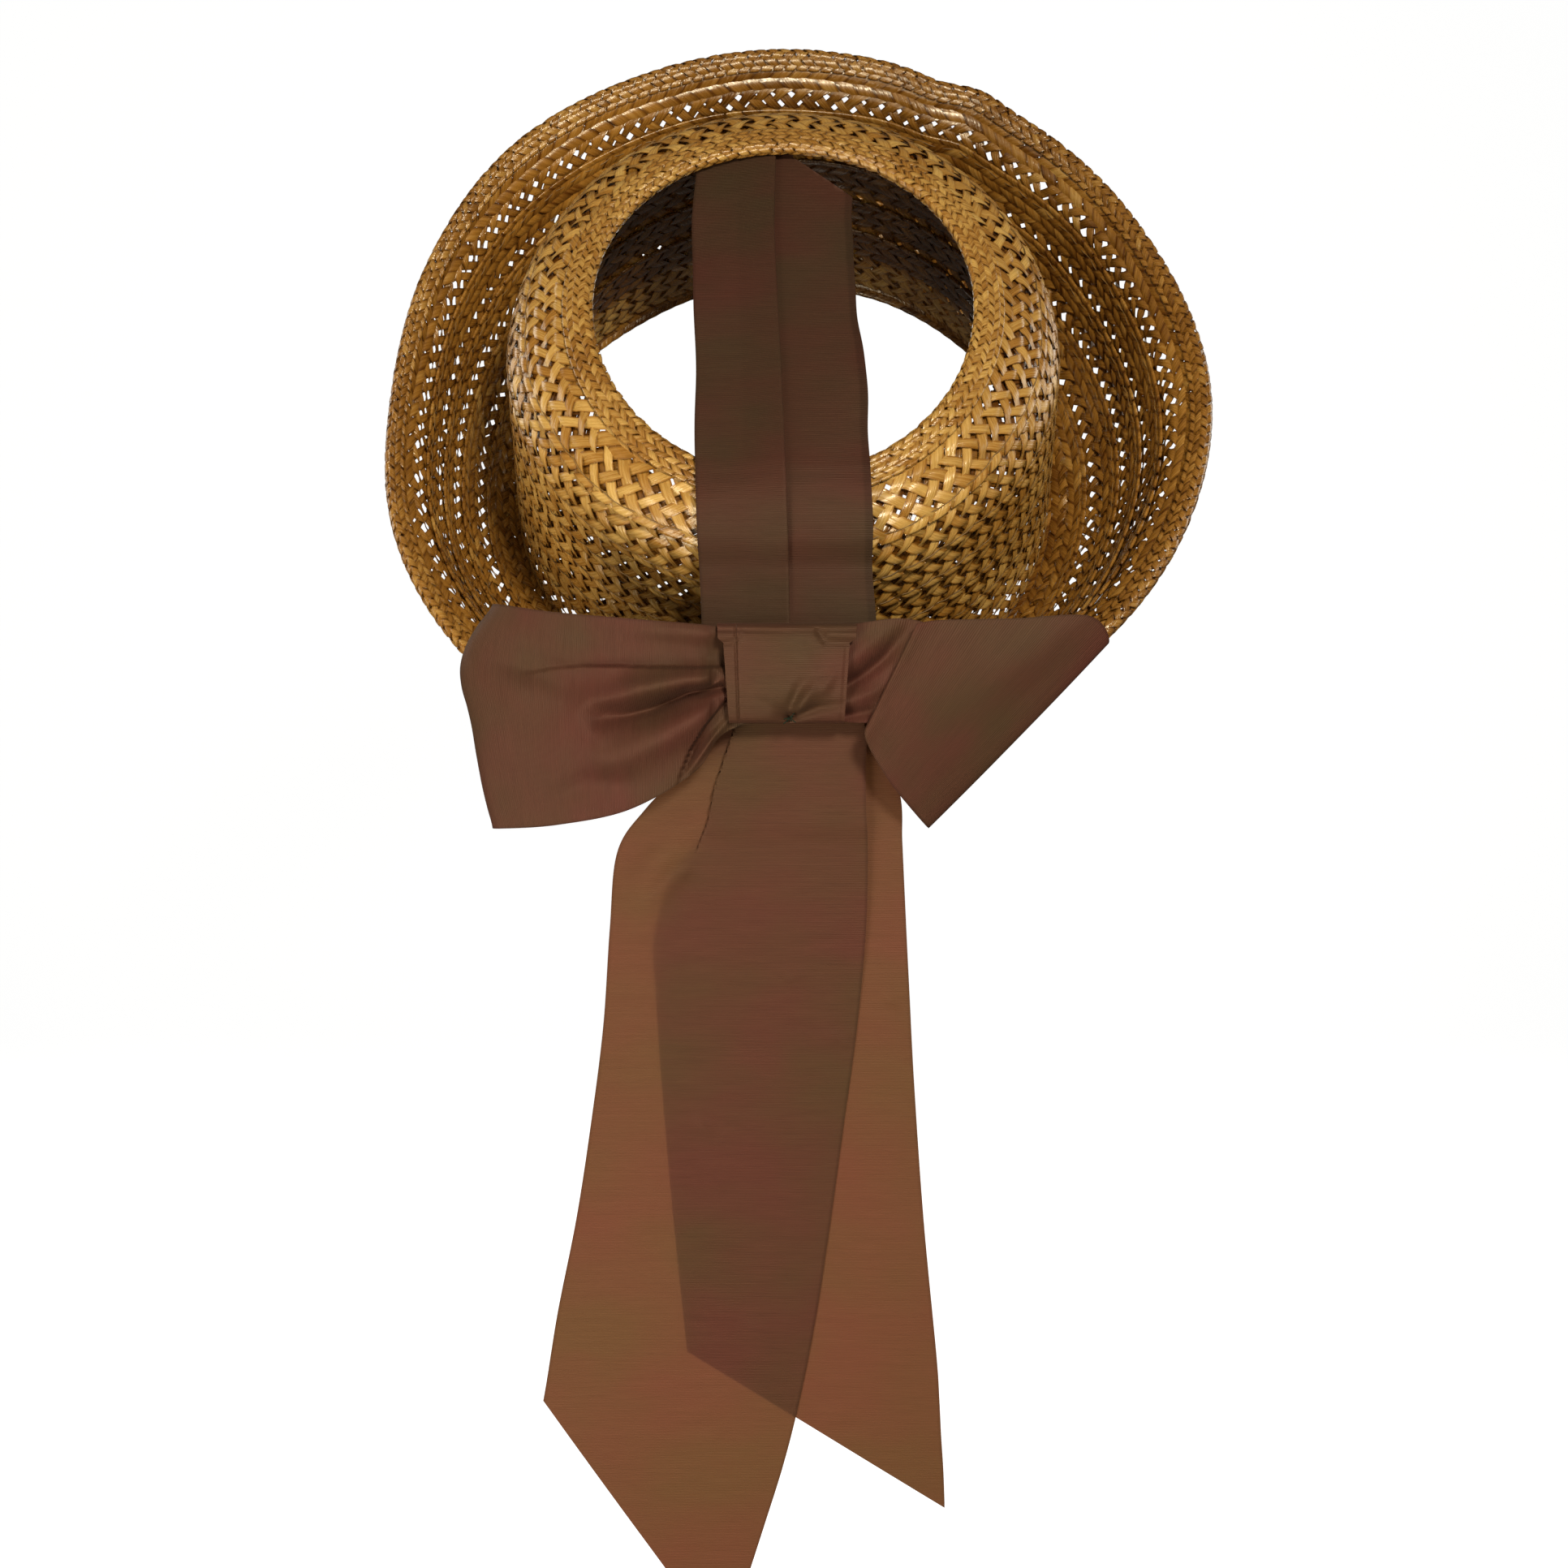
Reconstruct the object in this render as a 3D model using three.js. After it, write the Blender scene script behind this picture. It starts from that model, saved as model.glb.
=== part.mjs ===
// Straw hat with an open crown, a brim turned up all round, a ribbon strip
// over the open top and a bow with two hanging tails at the back.
// Millimetres, +Z up, the wearer looks along +Y and +X is the wearer's right.
// The origin is the middle of the head opening. The straw is built in the
// hat's own frame (height along its axis) and the whole of it is tipped back
// as it is worn; the ribbon hangs plumb in the outer frame.
import * as THREE from "three";

// ---------------------------------------------------------------- sizes
const TILT_BACK_DEG = 58.5;      // hat axis leans back from upright
const STRAW_WALL = 1.6;          // sewn plait
const RIBBON_WALL = 1.0;         // ribbon
const AROUND = 56;               // sections round the hat

const BIND_WALL = 0.9;           // one layer of a folded edge plait
const BIND_CLEAR = 0.35;         // gap between the fold and the wall in it
const CROWN_BIND_DEPTH = 7.0;    // how far the fold reaches down the crown
const BRIM_BIND_DEPTH = 8.0;     // how far the fold reaches down the brim
const EDGE_SET_BACK = 2.8;       // wall edge inside the fold

const BRIM_ROOT_GAP = 2.0;       // brim wall middle outside the crown's middle
const BRIM_KINK = { angle: 63.5, step: 1.7, spread: 3.4 }; // small set in the edge

const STRIP_HALF = 24.5;         // half width of the strip over the crown
const KNOT = { x: 1.3, y: -135.5, z: -59.85, height: 27.1, depth: 12, half_width: 16.8, square: 4 };
const TAIL_WAVE = { depth: 1.1, length: 150 };

// Crown, from the open top down to the head opening: height above the head
// opening and the wall's reach to the sides, the front and the back.
const CROWN = [
  { height: 95.5, side: 57.0, front: 59.5, back: 65.0 },
  { height: 94.0, side: 65.0, front: 68.0, back: 73.0 },
  { height: 89.5, side: 74.0, front: 79.0, back: 81.0 },
  { height: 83.0, side: 80.5, front: 87.5, back: 85.5 },
  { height: 75.0, side: 83.6, front: 92.5, back: 87.0 },
  { height: 62.0, side: 85.0, front: 95.0, back: 87.4 },
  { height: 45.0, side: 86.6, front: 95.8, back: 87.8 },
  { height: 25.0, side: 88.6, front: 96.0, back: 88.2 },
  { height: 0.0, side: 91.0, front: 96.0, back: 88.5 },
];

// Brim edge by angle round the hat (0 at the wearer's right, 90 in front):
// distance from the axis and rise above the head opening.
const BRIM = [
  { angle: 0, reach: 135.0, rise: 59.4 },
  { angle: 22.5, reach: 135.4, rise: 57.9 },
  { angle: 45, reach: 137.8, rise: 60.2 },
  { angle: 67.5, reach: 136.9, rise: 65.7 },
  { angle: 90, reach: 133.1, rise: 70.9 },
  { angle: 112.5, reach: 128.5, rise: 72.3 },
  { angle: 135, reach: 128.2, rise: 68.7 },
  { angle: 157.5, reach: 125.5, rise: 61.7 },
  { angle: 180, reach: 125.2, rise: 53.7 },
  { angle: 202.5, reach: 130.9, rise: 47.7 },
  { angle: 225, reach: 133.7, rise: 46.4 },
  { angle: 247.5, reach: 137.2, rise: 50.6 },
  { angle: 270, reach: 138.0, rise: 57.7 },
  { angle: 292.5, reach: 136.9, rise: 63.3 },
  { angle: 315, reach: 135.4, rise: 64.8 },
  { angle: 337.5, reach: 134.2, rise: 62.7 },
];

// Brim profile from the crown to its edge, as parts of the reach and rise:
// out first, then steeply up, then flared.
const BRIM_PROFILE = [
  { out: 0.0, up: 0.0 },
  { out: 0.3, up: 0.143 },
  { out: 0.517, up: 0.345 },
  { out: 0.637, up: 0.58 },
  { out: 0.745, up: 0.82 },
  { out: 0.86, up: 0.91 },
  { out: 1.0, up: 1.0 },
];

// Strip over the crown, in the hat's frame while it lies on the straw:
// distance towards the front, height, and how far its middle is to the right.
const STRIP_ON_HAT = [
  { fore: 66.0, height: 90.9, mid: -3.0 },
  { fore: 56.0, height: 91.6, mid: -3.0 },
  { fore: 30.0, height: 93.0, mid: -3.3 },
  { fore: 0.0, height: 94.8, mid: -2.3 },
  { fore: -30.0, height: 96.7, mid: -1.1 },
  { fore: -58.0, height: 98.6, mid: -0.2 },
  { fore: -66.0, height: 98.9, mid: 0.1 },
  { fore: -74.0, height: 97.6, mid: 0.4 },
  { fore: -82.6, height: 91.6, mid: 0.8 },
  { fore: -88.0, height: 84.6, mid: 1.0 },
];
// and plumb below the crown's shoulder, down behind the bow.
const STRIP_PLUMB = [
  { y: -119.6, z: -38.0, mid: 1.1 },
  { y: -121.6, z: -47.0, mid: 1.3 },
  { y: -122.4, z: -57.0, mid: 1.3 },
];

// Bow loops: stations along the ribbon from the back of the knot, round the
// end fold and back to the front of the knot. Each gives the ribbon's upper
// and lower selvedge seen from behind, how far back it lies, and how far the
// middle of the ribbon bellies out sideways and backwards.
const LOOP_LEFT = [
  { xu: -4.0, zu: -50.0, xl: -4.0, zl: -70.0, y: -132.6, side: 0, belly: 0 },
  { xu: -16.5, zu: -50.0, xl: -16.5, zl: -70.0, y: -132.4, side: 0, belly: 0 },
  { xu: -24.0, zu: -48.0, xl: -24.0, zl: -80.0, y: -129.0, side: 0, belly: 0 },
  { xu: -42.0, zu: -46.5, xl: -42.0, zl: -93.0, y: -124.0, side: 0, belly: 1 },
  { xu: -63.0, zu: -44.5, xl: -62.0, zl: -99.0, y: -120.5, side: -1, belly: 1 },
  { xu: -79.0, zu: -42.5, xl: -77.0, zl: -102.0, y: -118.0, side: -3, belly: 1 },
  { xu: -83.5, zu: -43.5, xl: -83.5, zl: -103.5, y: -122.0, side: -5.5, belly: 0 },
  { xu: -80.0, zu: -41.5, xl: -76.0, zl: -102.4, y: -128.5, side: -4, belly: -2 },
  { xu: -63.0, zu: -43.4, xl: -60.0, zl: -101.4, y: -134.0, side: -1, belly: -3 },
  { xu: -42.0, zu: -45.0, xl: -42.0, zl: -96.5, y: -137.5, side: 0, belly: -3 },
  { xu: -24.0, zu: -47.5, xl: -24.0, zl: -84.0, y: -139.0, side: 0, belly: -2 },
  { xu: -16.5, zu: -50.0, xl: -16.5, zl: -70.0, y: -138.2, side: 0, belly: 0 },
  { xu: -4.0, zu: -50.0, xl: -4.0, zl: -70.0, y: -138.0, side: 0, belly: 0 },
];
const LOOP_RIGHT = [
  { xu: 6.0, zu: -50.0, xl: 6.0, zl: -70.0, y: -132.6, side: 0, belly: 0 },
  { xu: 19.0, zu: -50.0, xl: 19.0, zl: -70.0, y: -132.4, side: 0, belly: 0 },
  { xu: 31.0, zu: -47.0, xl: 27.0, zl: -80.0, y: -129.0, side: 0, belly: 0 },
  { xu: 56.0, zu: -46.5, xl: 34.0, zl: -91.0, y: -125.0, side: 0, belly: 1 },
  { xu: 78.0, zu: -47.0, xl: 38.5, zl: -99.5, y: -124.0, side: 0, belly: 1 },
  { xu: 88.6, zu: -52.0, xl: 40.2, zl: -102.6, y: -129.0, side: 0.6, belly: 0 },
  { xu: 82.0, zu: -44.6, xl: 35.0, zl: -97.2, y: -135.0, side: 0, belly: -2 },
  { xu: 62.0, zu: -45.0, xl: 29.0, zl: -89.4, y: -139.0, side: 0, belly: -3 },
  { xu: 43.0, zu: -45.4, xl: 23.6, zl: -80.6, y: -141.2, side: 0, belly: -2 },
  { xu: 35.5, zu: -48.0, xl: 22.6, zl: -75.0, y: -140.2, side: 0, belly: -0.5 },
  { xu: 29.0, zu: -50.0, xl: 24.0, zl: -71.0, y: -138.6, side: 0, belly: 0 },
  { xu: 19.0, zu: -50.0, xl: 19.0, zl: -70.0, y: -138.0, side: 0, belly: 0 },
  { xu: 6.0, zu: -50.0, xl: 6.0, zl: -70.0, y: -138.0, side: 0, belly: 0 },
];

// Tails: level sections from behind the knot down to the slanted cut end.
const TAIL_FRONT = [
  { z: -51.0, left: -12.0, right: 14.5, y: -127.6 },
  { z: -74.0, left: -14.5, right: 22.4, y: -127.9 },
  { z: -86.0, left: -25.0, right: 22.8, y: -128.4 },
  { z: -98.0, left: -38.5, right: 23.0, y: -128.6 },
  { z: -110.0, left: -46.4, right: 23.6, y: -128.6 },
  { z: -132.0, left: -48.8, right: 23.2, y: -128.6 },
  { z: -160.0, left: -51.0, right: 20.8, y: -128.6 },
  { z: -188.0, left: -54.8, right: 17.2, y: -128.6 },
  { z: -216.0, left: -59.3, right: 13.6, y: -128.6 },
  { z: -244.0, left: -65.0, right: 9.6, y: -128.6 },
  { z: -270.0, left: -69.4, right: 4.8, y: -128.6 },
  { z: -290.0, left: -56.2, right: 0.1, y: -128.6 },
  { z: -310.0, left: -43.1, right: -5.8, y: -128.6 },
  { z: -330.0, left: -29.9, right: -11.9, y: -128.6 },
  { z: -347.0, left: -18.7, right: -16.9, y: -128.6 },
];
const TAIL_BACK = [
  { z: -51.0, left: -11.0, right: 13.5, y: -125.6 },
  { z: -74.0, left: -16.0, right: 27.0, y: -125.8 },
  { z: -94.0, left: -31.0, right: 32.7, y: -126.2 },
  { z: -119.0, left: -37.0, right: 34.0, y: -126.2 },
  { z: -150.0, left: -36.0, right: 35.6, y: -126.2 },
  { z: -176.0, left: -34.6, right: 37.1, y: -126.2 },
  { z: -216.0, left: -31.6, right: 40.1, y: -126.2 },
  { z: -256.0, left: -27.8, right: 44.1, y: -126.2 },
  { z: -268.0, left: -8.9, right: 45.0, y: -126.2 },
  { z: -280.0, left: 10.0, right: 45.7, y: -126.2 },
  { z: -291.0, left: 27.4, right: 46.5, y: -126.2 },
  { z: -301.4, left: 43.8, right: 47.0, y: -126.2 },
];

// ---------------------------------------------------------------- helpers
const rad = THREE.MathUtils.degToRad;
const V = (x, y, z) => new THREE.Vector3(x, y, z);
const lerp = (a, b, t) => a + (b - a) * t;

// Smooth value through four neighbours.
const cubic = (a, b, c, d, t) =>
  b + 0.5 * t * (c - a + t * (2 * a - 5 * b + 4 * c - d + t * (3 * (b - c) + d - a)));

// One column of a table at position k (rows 0, 1, 2 ...), ends held or wrapped.
function column(table, name, k, wrap = false) {
  const n = table.length;
  const at = (i) => table[wrap ? (i + 4 * n) % n : Math.min(n - 1, Math.max(0, i))][name];
  const i = Math.floor(k);
  return cubic(at(i - 1), at(i), at(i + 1), at(i + 2), k - i);
}

// Egg-shaped ring: its reach from the axis at an angle.
function ringReach(row, angle) {
  const c = Math.cos(angle), s = Math.sin(angle);
  return 1 / Math.hypot(c / row.side, s / (s >= 0 ? row.front : row.back));
}
const polar = (reach, angle, height) => V(reach * Math.cos(angle), reach * Math.sin(angle), height);
const angleOf = (j) => (2 * Math.PI * j) / AROUND;

function crownPoint(row, angle) {
  return polar(ringReach(CROWN[row], angle), angle, CROWN[row].height);
}

// Brim point for a row of its profile.
function brimPoint(profile, angle) {
  const base = CROWN[CROWN.length - 1];
  const root = ringReach(base, angle) + BRIM_ROOT_GAP;
  const deg = (THREE.MathUtils.radToDeg(angle) + 360) % 360;
  const k = deg / 22.5;
  const off = (deg - BRIM_KINK.angle) / BRIM_KINK.spread;
  const edge = column(BRIM, "reach", k, true) - BRIM_KINK.step * off * Math.exp(0.5 - 0.5 * off * off);
  return polar(lerp(root, edge, profile.out), angle, column(BRIM, "rise", k, true) * profile.up);
}

// Closed body from a vertex list and triangles, faces turned outwards.
function body(points, faces) {
  let volume = 0;
  for (const [a, b, c] of faces) volume += points[a].dot(points[b].clone().cross(points[c]));
  const index = faces.flatMap(([a, b, c]) => (volume < 0 ? [a, c, b] : [a, b, c]));
  const geometry = new THREE.BufferGeometry();
  geometry.setAttribute("position", new THREE.Float32BufferAttribute(points.flatMap((p) => [p.x, p.y, p.z]), 3));
  geometry.setIndex(index);
  geometry.computeVertexNormals();
  return geometry;
}

// Wall of even thickness on a grid of middle points; ring: rows close on themselves.
function wall(grid, thickness, ring = false) {
  const rows = grid.length, cols = grid[0].length;
  const points = [];
  for (const side of [0.5, -0.5]) {
    for (let i = 0; i < rows; i++) {
      for (let j = 0; j < cols; j++) {
        const up = grid[Math.max(0, i - 1)][j], down = grid[Math.min(rows - 1, i + 1)][j];
        const l = grid[i][ring ? (j + cols - 1) % cols : Math.max(0, j - 1)];
        const r = grid[i][ring ? (j + 1) % cols : Math.min(cols - 1, j + 1)];
        const n = down.clone().sub(up).cross(r.clone().sub(l)).normalize();
        points.push(grid[i][j].clone().addScaledVector(n, side * thickness));
      }
    }
  }
  const id = (s, i, j) => s * rows * cols + i * cols + (j % cols);
  const faces = [];
  const quad = (a, b, c, d) => faces.push([a, b, c], [a, c, d]);
  const last = ring ? cols : cols - 1;
  for (let i = 0; i < rows - 1; i++) {
    for (let j = 0; j < last; j++) {
      quad(id(0, i, j), id(0, i + 1, j), id(0, i + 1, j + 1), id(0, i, j + 1));
      quad(id(1, i, j), id(1, i, j + 1), id(1, i + 1, j + 1), id(1, i + 1, j));
    }
  }
  for (let j = 0; j < last; j++) {
    quad(id(0, 0, j), id(0, 0, j + 1), id(1, 0, j + 1), id(1, 0, j));
    quad(id(0, rows - 1, j), id(1, rows - 1, j), id(1, rows - 1, j + 1), id(0, rows - 1, j + 1));
  }
  if (!ring) {
    for (let i = 0; i < rows - 1; i++) {
      quad(id(0, i, 0), id(1, i, 0), id(1, i + 1, 0), id(0, i + 1, 0));
      quad(id(0, i, last), id(0, i + 1, last), id(1, i + 1, last), id(1, i, last));
    }
  }
  return body(points, faces);
}

// Plait folded over an edge: a U-shaped section carried round the edge.
// edge(angle) is the fold, inner(angle) a point further down the wall.
function foldedEdge(edge, inner, depth) {
  const out = STRAW_WALL / 2 + BIND_CLEAR + BIND_WALL, inn = out - BIND_WALL;
  const section = [
    [depth, out], [1.7, out], [0, 0.5 * out], [0, -0.5 * out], [1.7, -out], [depth, -out],
    [depth, -inn], [1.8, -inn], [1.8, inn], [depth, inn],
  ];
  const points = [], faces = [], m = section.length;
  for (let j = 0; j < AROUND; j++) {
    const a = angleOf(j), step = 1e-3;
    const e = edge(a), down = inner(a).sub(e).normalize();
    const along = edge(a + step).sub(edge(a - step)).normalize();
    const n = down.clone().cross(along).normalize();
    for (const [s, h] of section) points.push(e.clone().addScaledVector(down, s).addScaledVector(n, h));
  }
  for (let j = 0; j < AROUND; j++) {
    for (let k = 0; k < m; k++) {
      const a = j * m + k, b = j * m + ((k + 1) % m);
      const c = ((j + 1) % AROUND) * m + ((k + 1) % m), d = ((j + 1) % AROUND) * m + k;
      faces.push([a, b, c], [a, c, d]);
    }
  }
  return body(points, faces);
}

function mesh(name, geometry, color, roughness) {
  const m = new THREE.Mesh(geometry, new THREE.MeshStandardMaterial({ color, roughness, metalness: 0 }));
  m.name = name;
  return m;
}

// ---------------------------------------------------------------- straw
const ring = (fn) => Array.from({ length: AROUND }, (_, j) => fn(angleOf(j)));
const setBack = (edge, inner) => edge.clone().lerp(inner, EDGE_SET_BACK / edge.distanceTo(inner));

const crownRows = CROWN.map((_, i) =>
  ring((a) => (i === 0 ? setBack(crownPoint(0, a), crownPoint(1, a)) : crownPoint(i, a))));

const brimLast = BRIM_PROFILE.length - 1;
const brimRows = BRIM_PROFILE.map((p, i) =>
  ring((a) => (i === brimLast
    ? setBack(brimPoint(p, a), brimPoint(BRIM_PROFILE[i - 1], a))
    : brimPoint(p, a))));

// ---------------------------------------------------------------- ribbon
const tilt = rad(TILT_BACK_DEG);
const stripPath = [
  ...STRIP_ON_HAT.map((r) => ({
    y: r.fore * Math.cos(tilt) - r.height * Math.sin(tilt),
    z: r.fore * Math.sin(tilt) + r.height * Math.cos(tilt),
    mid: r.mid,
  })),
  ...STRIP_PLUMB,
];
const stripRows = stripPath.map((p) => [-1, -0.5, 0, 0.5, 1].map((s) => V(p.mid + s * STRIP_HALF, p.y, p.z)));

const ACROSS = 6;                // parts across a ribbon
const LOOP_PARTS = 2;            // parts between loop stations
function loopRows(table) {
  const steps = (table.length - 1) * LOOP_PARTS;
  return Array.from({ length: steps + 1 }, (_, i) => {
    const k = Math.min(i / LOOP_PARTS, table.length - 1 - 1e-9);
    const at = (name) => column(table, name, k);
    return Array.from({ length: ACROSS + 1 }, (_, j) => {
      const t = j / ACROSS, bow = 4 * t * (1 - t);
      return V(lerp(at("xu"), at("xl"), t) + at("side") * bow, at("y") + at("belly") * bow, lerp(at("zu"), at("zl"), t));
    });
  });
}

function tailRows(table) {
  return table.map((r) => Array.from({ length: ACROSS + 1 }, (_, j) => {
    const x = lerp(r.left, r.right, j / ACROSS);
    const loose = THREE.MathUtils.smoothstep(-r.z, 80, 140);
    return V(x, r.y + loose * TAIL_WAVE.depth * Math.sin((2 * Math.PI * (x + 0.35 * r.z)) / TAIL_WAVE.length), r.z);
  }));
}

// Knot: a flattened tube of ribbon round the middle of the bow.
const KNOT_PARTS = 20;
const knotRows = [-1, -0.5, 0, 0.5, 1].map((s) =>
  Array.from({ length: KNOT_PARTS }, (_, j) => {
    const a = (2 * Math.PI * (j + 0.5)) / KNOT_PARTS, c = Math.cos(a), w = Math.sin(a);
    const r = Math.pow(Math.abs(c) ** KNOT.square + Math.abs(w) ** KNOT.square, -1 / KNOT.square);
    return V(
      KNOT.x + s * KNOT.half_width,
      KNOT.y + r * c * (KNOT.depth - RIBBON_WALL) / 2,
      KNOT.z + r * w * (KNOT.height - RIBBON_WALL) / 2,
    );
  }));

// ---------------------------------------------------------------- assembly
const STRAW_COLOR = 0xb17f38, STRAW_EDGE_COLOR = 0xa87534;
const RIBBON_COLOR = 0x5a3b30, TAIL_COLOR = 0x6f4633;

const hat = new THREE.Group();
hat.rotation.x = tilt;
hat.add(
  mesh("crown", wall(crownRows, STRAW_WALL, true), STRAW_COLOR, 0.5),
  mesh("crown_edge", foldedEdge((a) => crownPoint(0, a), (a) => crownPoint(1, a), CROWN_BIND_DEPTH), STRAW_EDGE_COLOR, 0.5),
  mesh("brim", wall(brimRows, STRAW_WALL, true), STRAW_COLOR, 0.5),
  mesh("brim_edge", foldedEdge(
    (a) => brimPoint(BRIM_PROFILE[brimLast], a),
    (a) => brimPoint(BRIM_PROFILE[brimLast - 1], a),
    BRIM_BIND_DEPTH,
  ), STRAW_EDGE_COLOR, 0.5),
);

const ribbon = new THREE.Group();
ribbon.add(
  mesh("crown_ribbon", wall(stripRows, RIBBON_WALL), RIBBON_COLOR, 0.6),
  mesh("bow_knot", wall(knotRows, RIBBON_WALL, true), RIBBON_COLOR, 0.6),
  mesh("bow_loop_left", wall(loopRows(LOOP_LEFT), RIBBON_WALL), RIBBON_COLOR, 0.6),
  mesh("bow_loop_right", wall(loopRows(LOOP_RIGHT), RIBBON_WALL), RIBBON_COLOR, 0.6),
  mesh("tail_front", wall(tailRows(TAIL_FRONT), RIBBON_WALL), TAIL_COLOR, 0.6),
  mesh("tail_back", wall(tailRows(TAIL_BACK), RIBBON_WALL), TAIL_COLOR, 0.6),
);

const part = new THREE.Group();
part.add(hat, ribbon);

export default part;
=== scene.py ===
import math

import bpy
import numpy as np
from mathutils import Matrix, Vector


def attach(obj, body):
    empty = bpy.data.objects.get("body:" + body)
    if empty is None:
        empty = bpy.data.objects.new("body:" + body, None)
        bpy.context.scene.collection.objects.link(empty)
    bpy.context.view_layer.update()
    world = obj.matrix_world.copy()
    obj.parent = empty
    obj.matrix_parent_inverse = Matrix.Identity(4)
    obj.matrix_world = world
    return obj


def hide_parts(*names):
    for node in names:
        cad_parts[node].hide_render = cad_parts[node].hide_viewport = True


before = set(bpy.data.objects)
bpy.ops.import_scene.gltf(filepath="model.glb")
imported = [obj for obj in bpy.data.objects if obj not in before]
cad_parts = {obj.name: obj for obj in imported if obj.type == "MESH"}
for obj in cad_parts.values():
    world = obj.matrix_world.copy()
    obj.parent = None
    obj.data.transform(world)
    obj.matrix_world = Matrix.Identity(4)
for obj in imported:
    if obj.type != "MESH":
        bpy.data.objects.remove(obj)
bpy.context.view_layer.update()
scene = bpy.context.scene

# ------------------------------------------------------------------ sizes, mm
TILT = math.radians(58.5)          # the hat leans back as it is worn
CT, ST = math.cos(TILT), math.sin(TILT)

# crown: height, side, front, back
CROWN = np.array([
    (95.5, 57.0, 59.5, 65.0), (94.0, 65.0, 68.0, 73.0), (89.5, 74.0, 79.0, 81.0),
    (83.0, 80.5, 87.5, 85.5), (75.0, 83.6, 92.5, 87.0), (62.0, 85.0, 95.0, 87.4),
    (45.0, 86.6, 95.8, 87.8), (25.0, 88.6, 96.0, 88.2), (0.0, 91.0, 96.0, 88.5)])
# brim edge every 22.5 degrees: reach, rise
BRIM = np.array([
    (135.0, 59.4), (135.4, 57.9), (137.8, 60.2), (136.9, 65.7), (133.1, 70.9), (128.5, 72.3),
    (128.2, 68.7), (125.5, 61.7), (125.2, 53.7), (130.9, 47.7), (133.7, 46.4), (137.2, 50.6),
    (138.0, 57.7), (136.9, 63.3), (135.4, 64.8), (134.2, 62.7)])
# brim profile: part of the way out, part of the rise
BRIM_PROFILE = np.array([(0, 0), (0.3, 0.143), (0.517, 0.345), (0.637, 0.58), (0.745, 0.82), (0.86, 0.91), (1, 1)])

SPLINT_THICK = 0.34
WEAVE_AMP = 0.42
SHINGLE = (1.25, 1.05)  # how far a row's lower edge stands off the wall, crown and brim

# lower edge of each crown row, mm down the slant from the open top
CROWN_ROWS = [24.2, 38.7, 53.2, 67.7, 82.2, 96.7, 111.0]
CROWN_SLANT = 111.2
# outer edge of each brim row, part of the brim's slant
BRIM_ROWS = [0.195, 0.385, 0.575, 0.765, 0.955]


def tip(p):
    """Hat frame in mm to the outer frame in metres."""
    return np.stack([p[..., 0], p[..., 1] * CT - p[..., 2] * ST, p[..., 1] * ST + p[..., 2] * CT], -1) * 1e-3


def catmull(rows, k, wrap=False):
    """Smooth values of a table at fractional rows k."""
    rows = np.asarray(rows, float)
    n = len(rows)
    k = np.asarray(k, float)
    i = np.floor(k).astype(int)
    if not wrap:
        i = np.clip(i, 0, n - 2)
    t = k - i
    t = t.reshape(t.shape + (1,) * (rows.ndim - 1))
    at = (lambda j: rows[j % n]) if wrap else (lambda j: rows[np.clip(j, 0, n - 1)])
    a, b, c, d = at(i - 1), at(i), at(i + 1), at(i + 2)
    return b + 0.5 * t * (c - a + t * (2 * a - 5 * b + 4 * c - d + t * (3 * (b - c) + d - a)))


def resample(path, n):
    """Points (..., m, 3) at n even steps of each path's own length, and the length."""
    seg = np.linalg.norm(np.diff(path, axis=-2), axis=-1)
    run = np.concatenate([np.zeros(seg.shape[:-1] + (1,)), np.cumsum(seg, -1)], -1)
    out = np.empty(path.shape[:-2] + (n, 3))
    for idx in np.ndindex(path.shape[:-2]):
        s = np.linspace(0, run[idx][-1], n)
        for c in range(3):
            out[idx][:, c] = np.interp(s, run[idx], path[idx][:, c])
    return out, run[..., -1]


class Surface:
    """A band closed round the hat: grid of points by angle and by t from 0 to 1, with a little spare at both ends."""
    SPARE = 0.12

    def __init__(self, grid):
        n = grid.shape[1]
        self.lo = -self.SPARE
        m = int(round(self.SPARE * (n - 1)))
        first = grid[:, :1] + (grid[:, :1] - grid[:, 2:3]) / 2 * np.arange(m, 0, -1)[None, :, None]
        last = grid[:, -1:] + (grid[:, -1:] - grid[:, -3:-2]) / 2 * np.arange(1, m + 1)[None, :, None]
        self.P = np.concatenate([first, grid, last], 1)
        self.step = 1.0 / (n - 1)
        dphi = np.roll(self.P, -1, 0) - np.roll(self.P, 1, 0)
        dt = np.gradient(self.P, axis=1)
        nor = -np.cross(dphi, dt)
        self.N = nor / np.linalg.norm(nor, axis=-1, keepdims=True)
        self.lo = -m * self.step

    def at(self, phi, t):
        nphi, nt = self.P.shape[:2]
        a = (phi / (2 * np.pi) % 1.0) * nphi
        i = np.floor(a).astype(int)
        fa = (a - i)[..., None]
        b = np.clip((t - self.lo) / self.step, 0, nt - 1.001)
        j = np.floor(b).astype(int)
        fb = (b - j)[..., None]
        out = []
        for G in (self.P, self.N):
            v00, v10 = G[i % nphi, j], G[(i + 1) % nphi, j]
            v01, v11 = G[i % nphi, j + 1], G[(i + 1) % nphi, j + 1]
            out.append((v00 * (1 - fa) + v10 * fa) * (1 - fb) + (v01 * (1 - fa) + v11 * fa) * fb)
        out[1] /= np.linalg.norm(out[1], axis=-1, keepdims=True)
        return out


ANGLES = np.arange(360) / 360 * 2 * np.pi


def ring_reach(side, front, back, phi):
    s = np.sin(phi)
    return 1 / np.hypot(np.cos(phi) / side, s / np.where(s >= 0, front, back))


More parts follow.
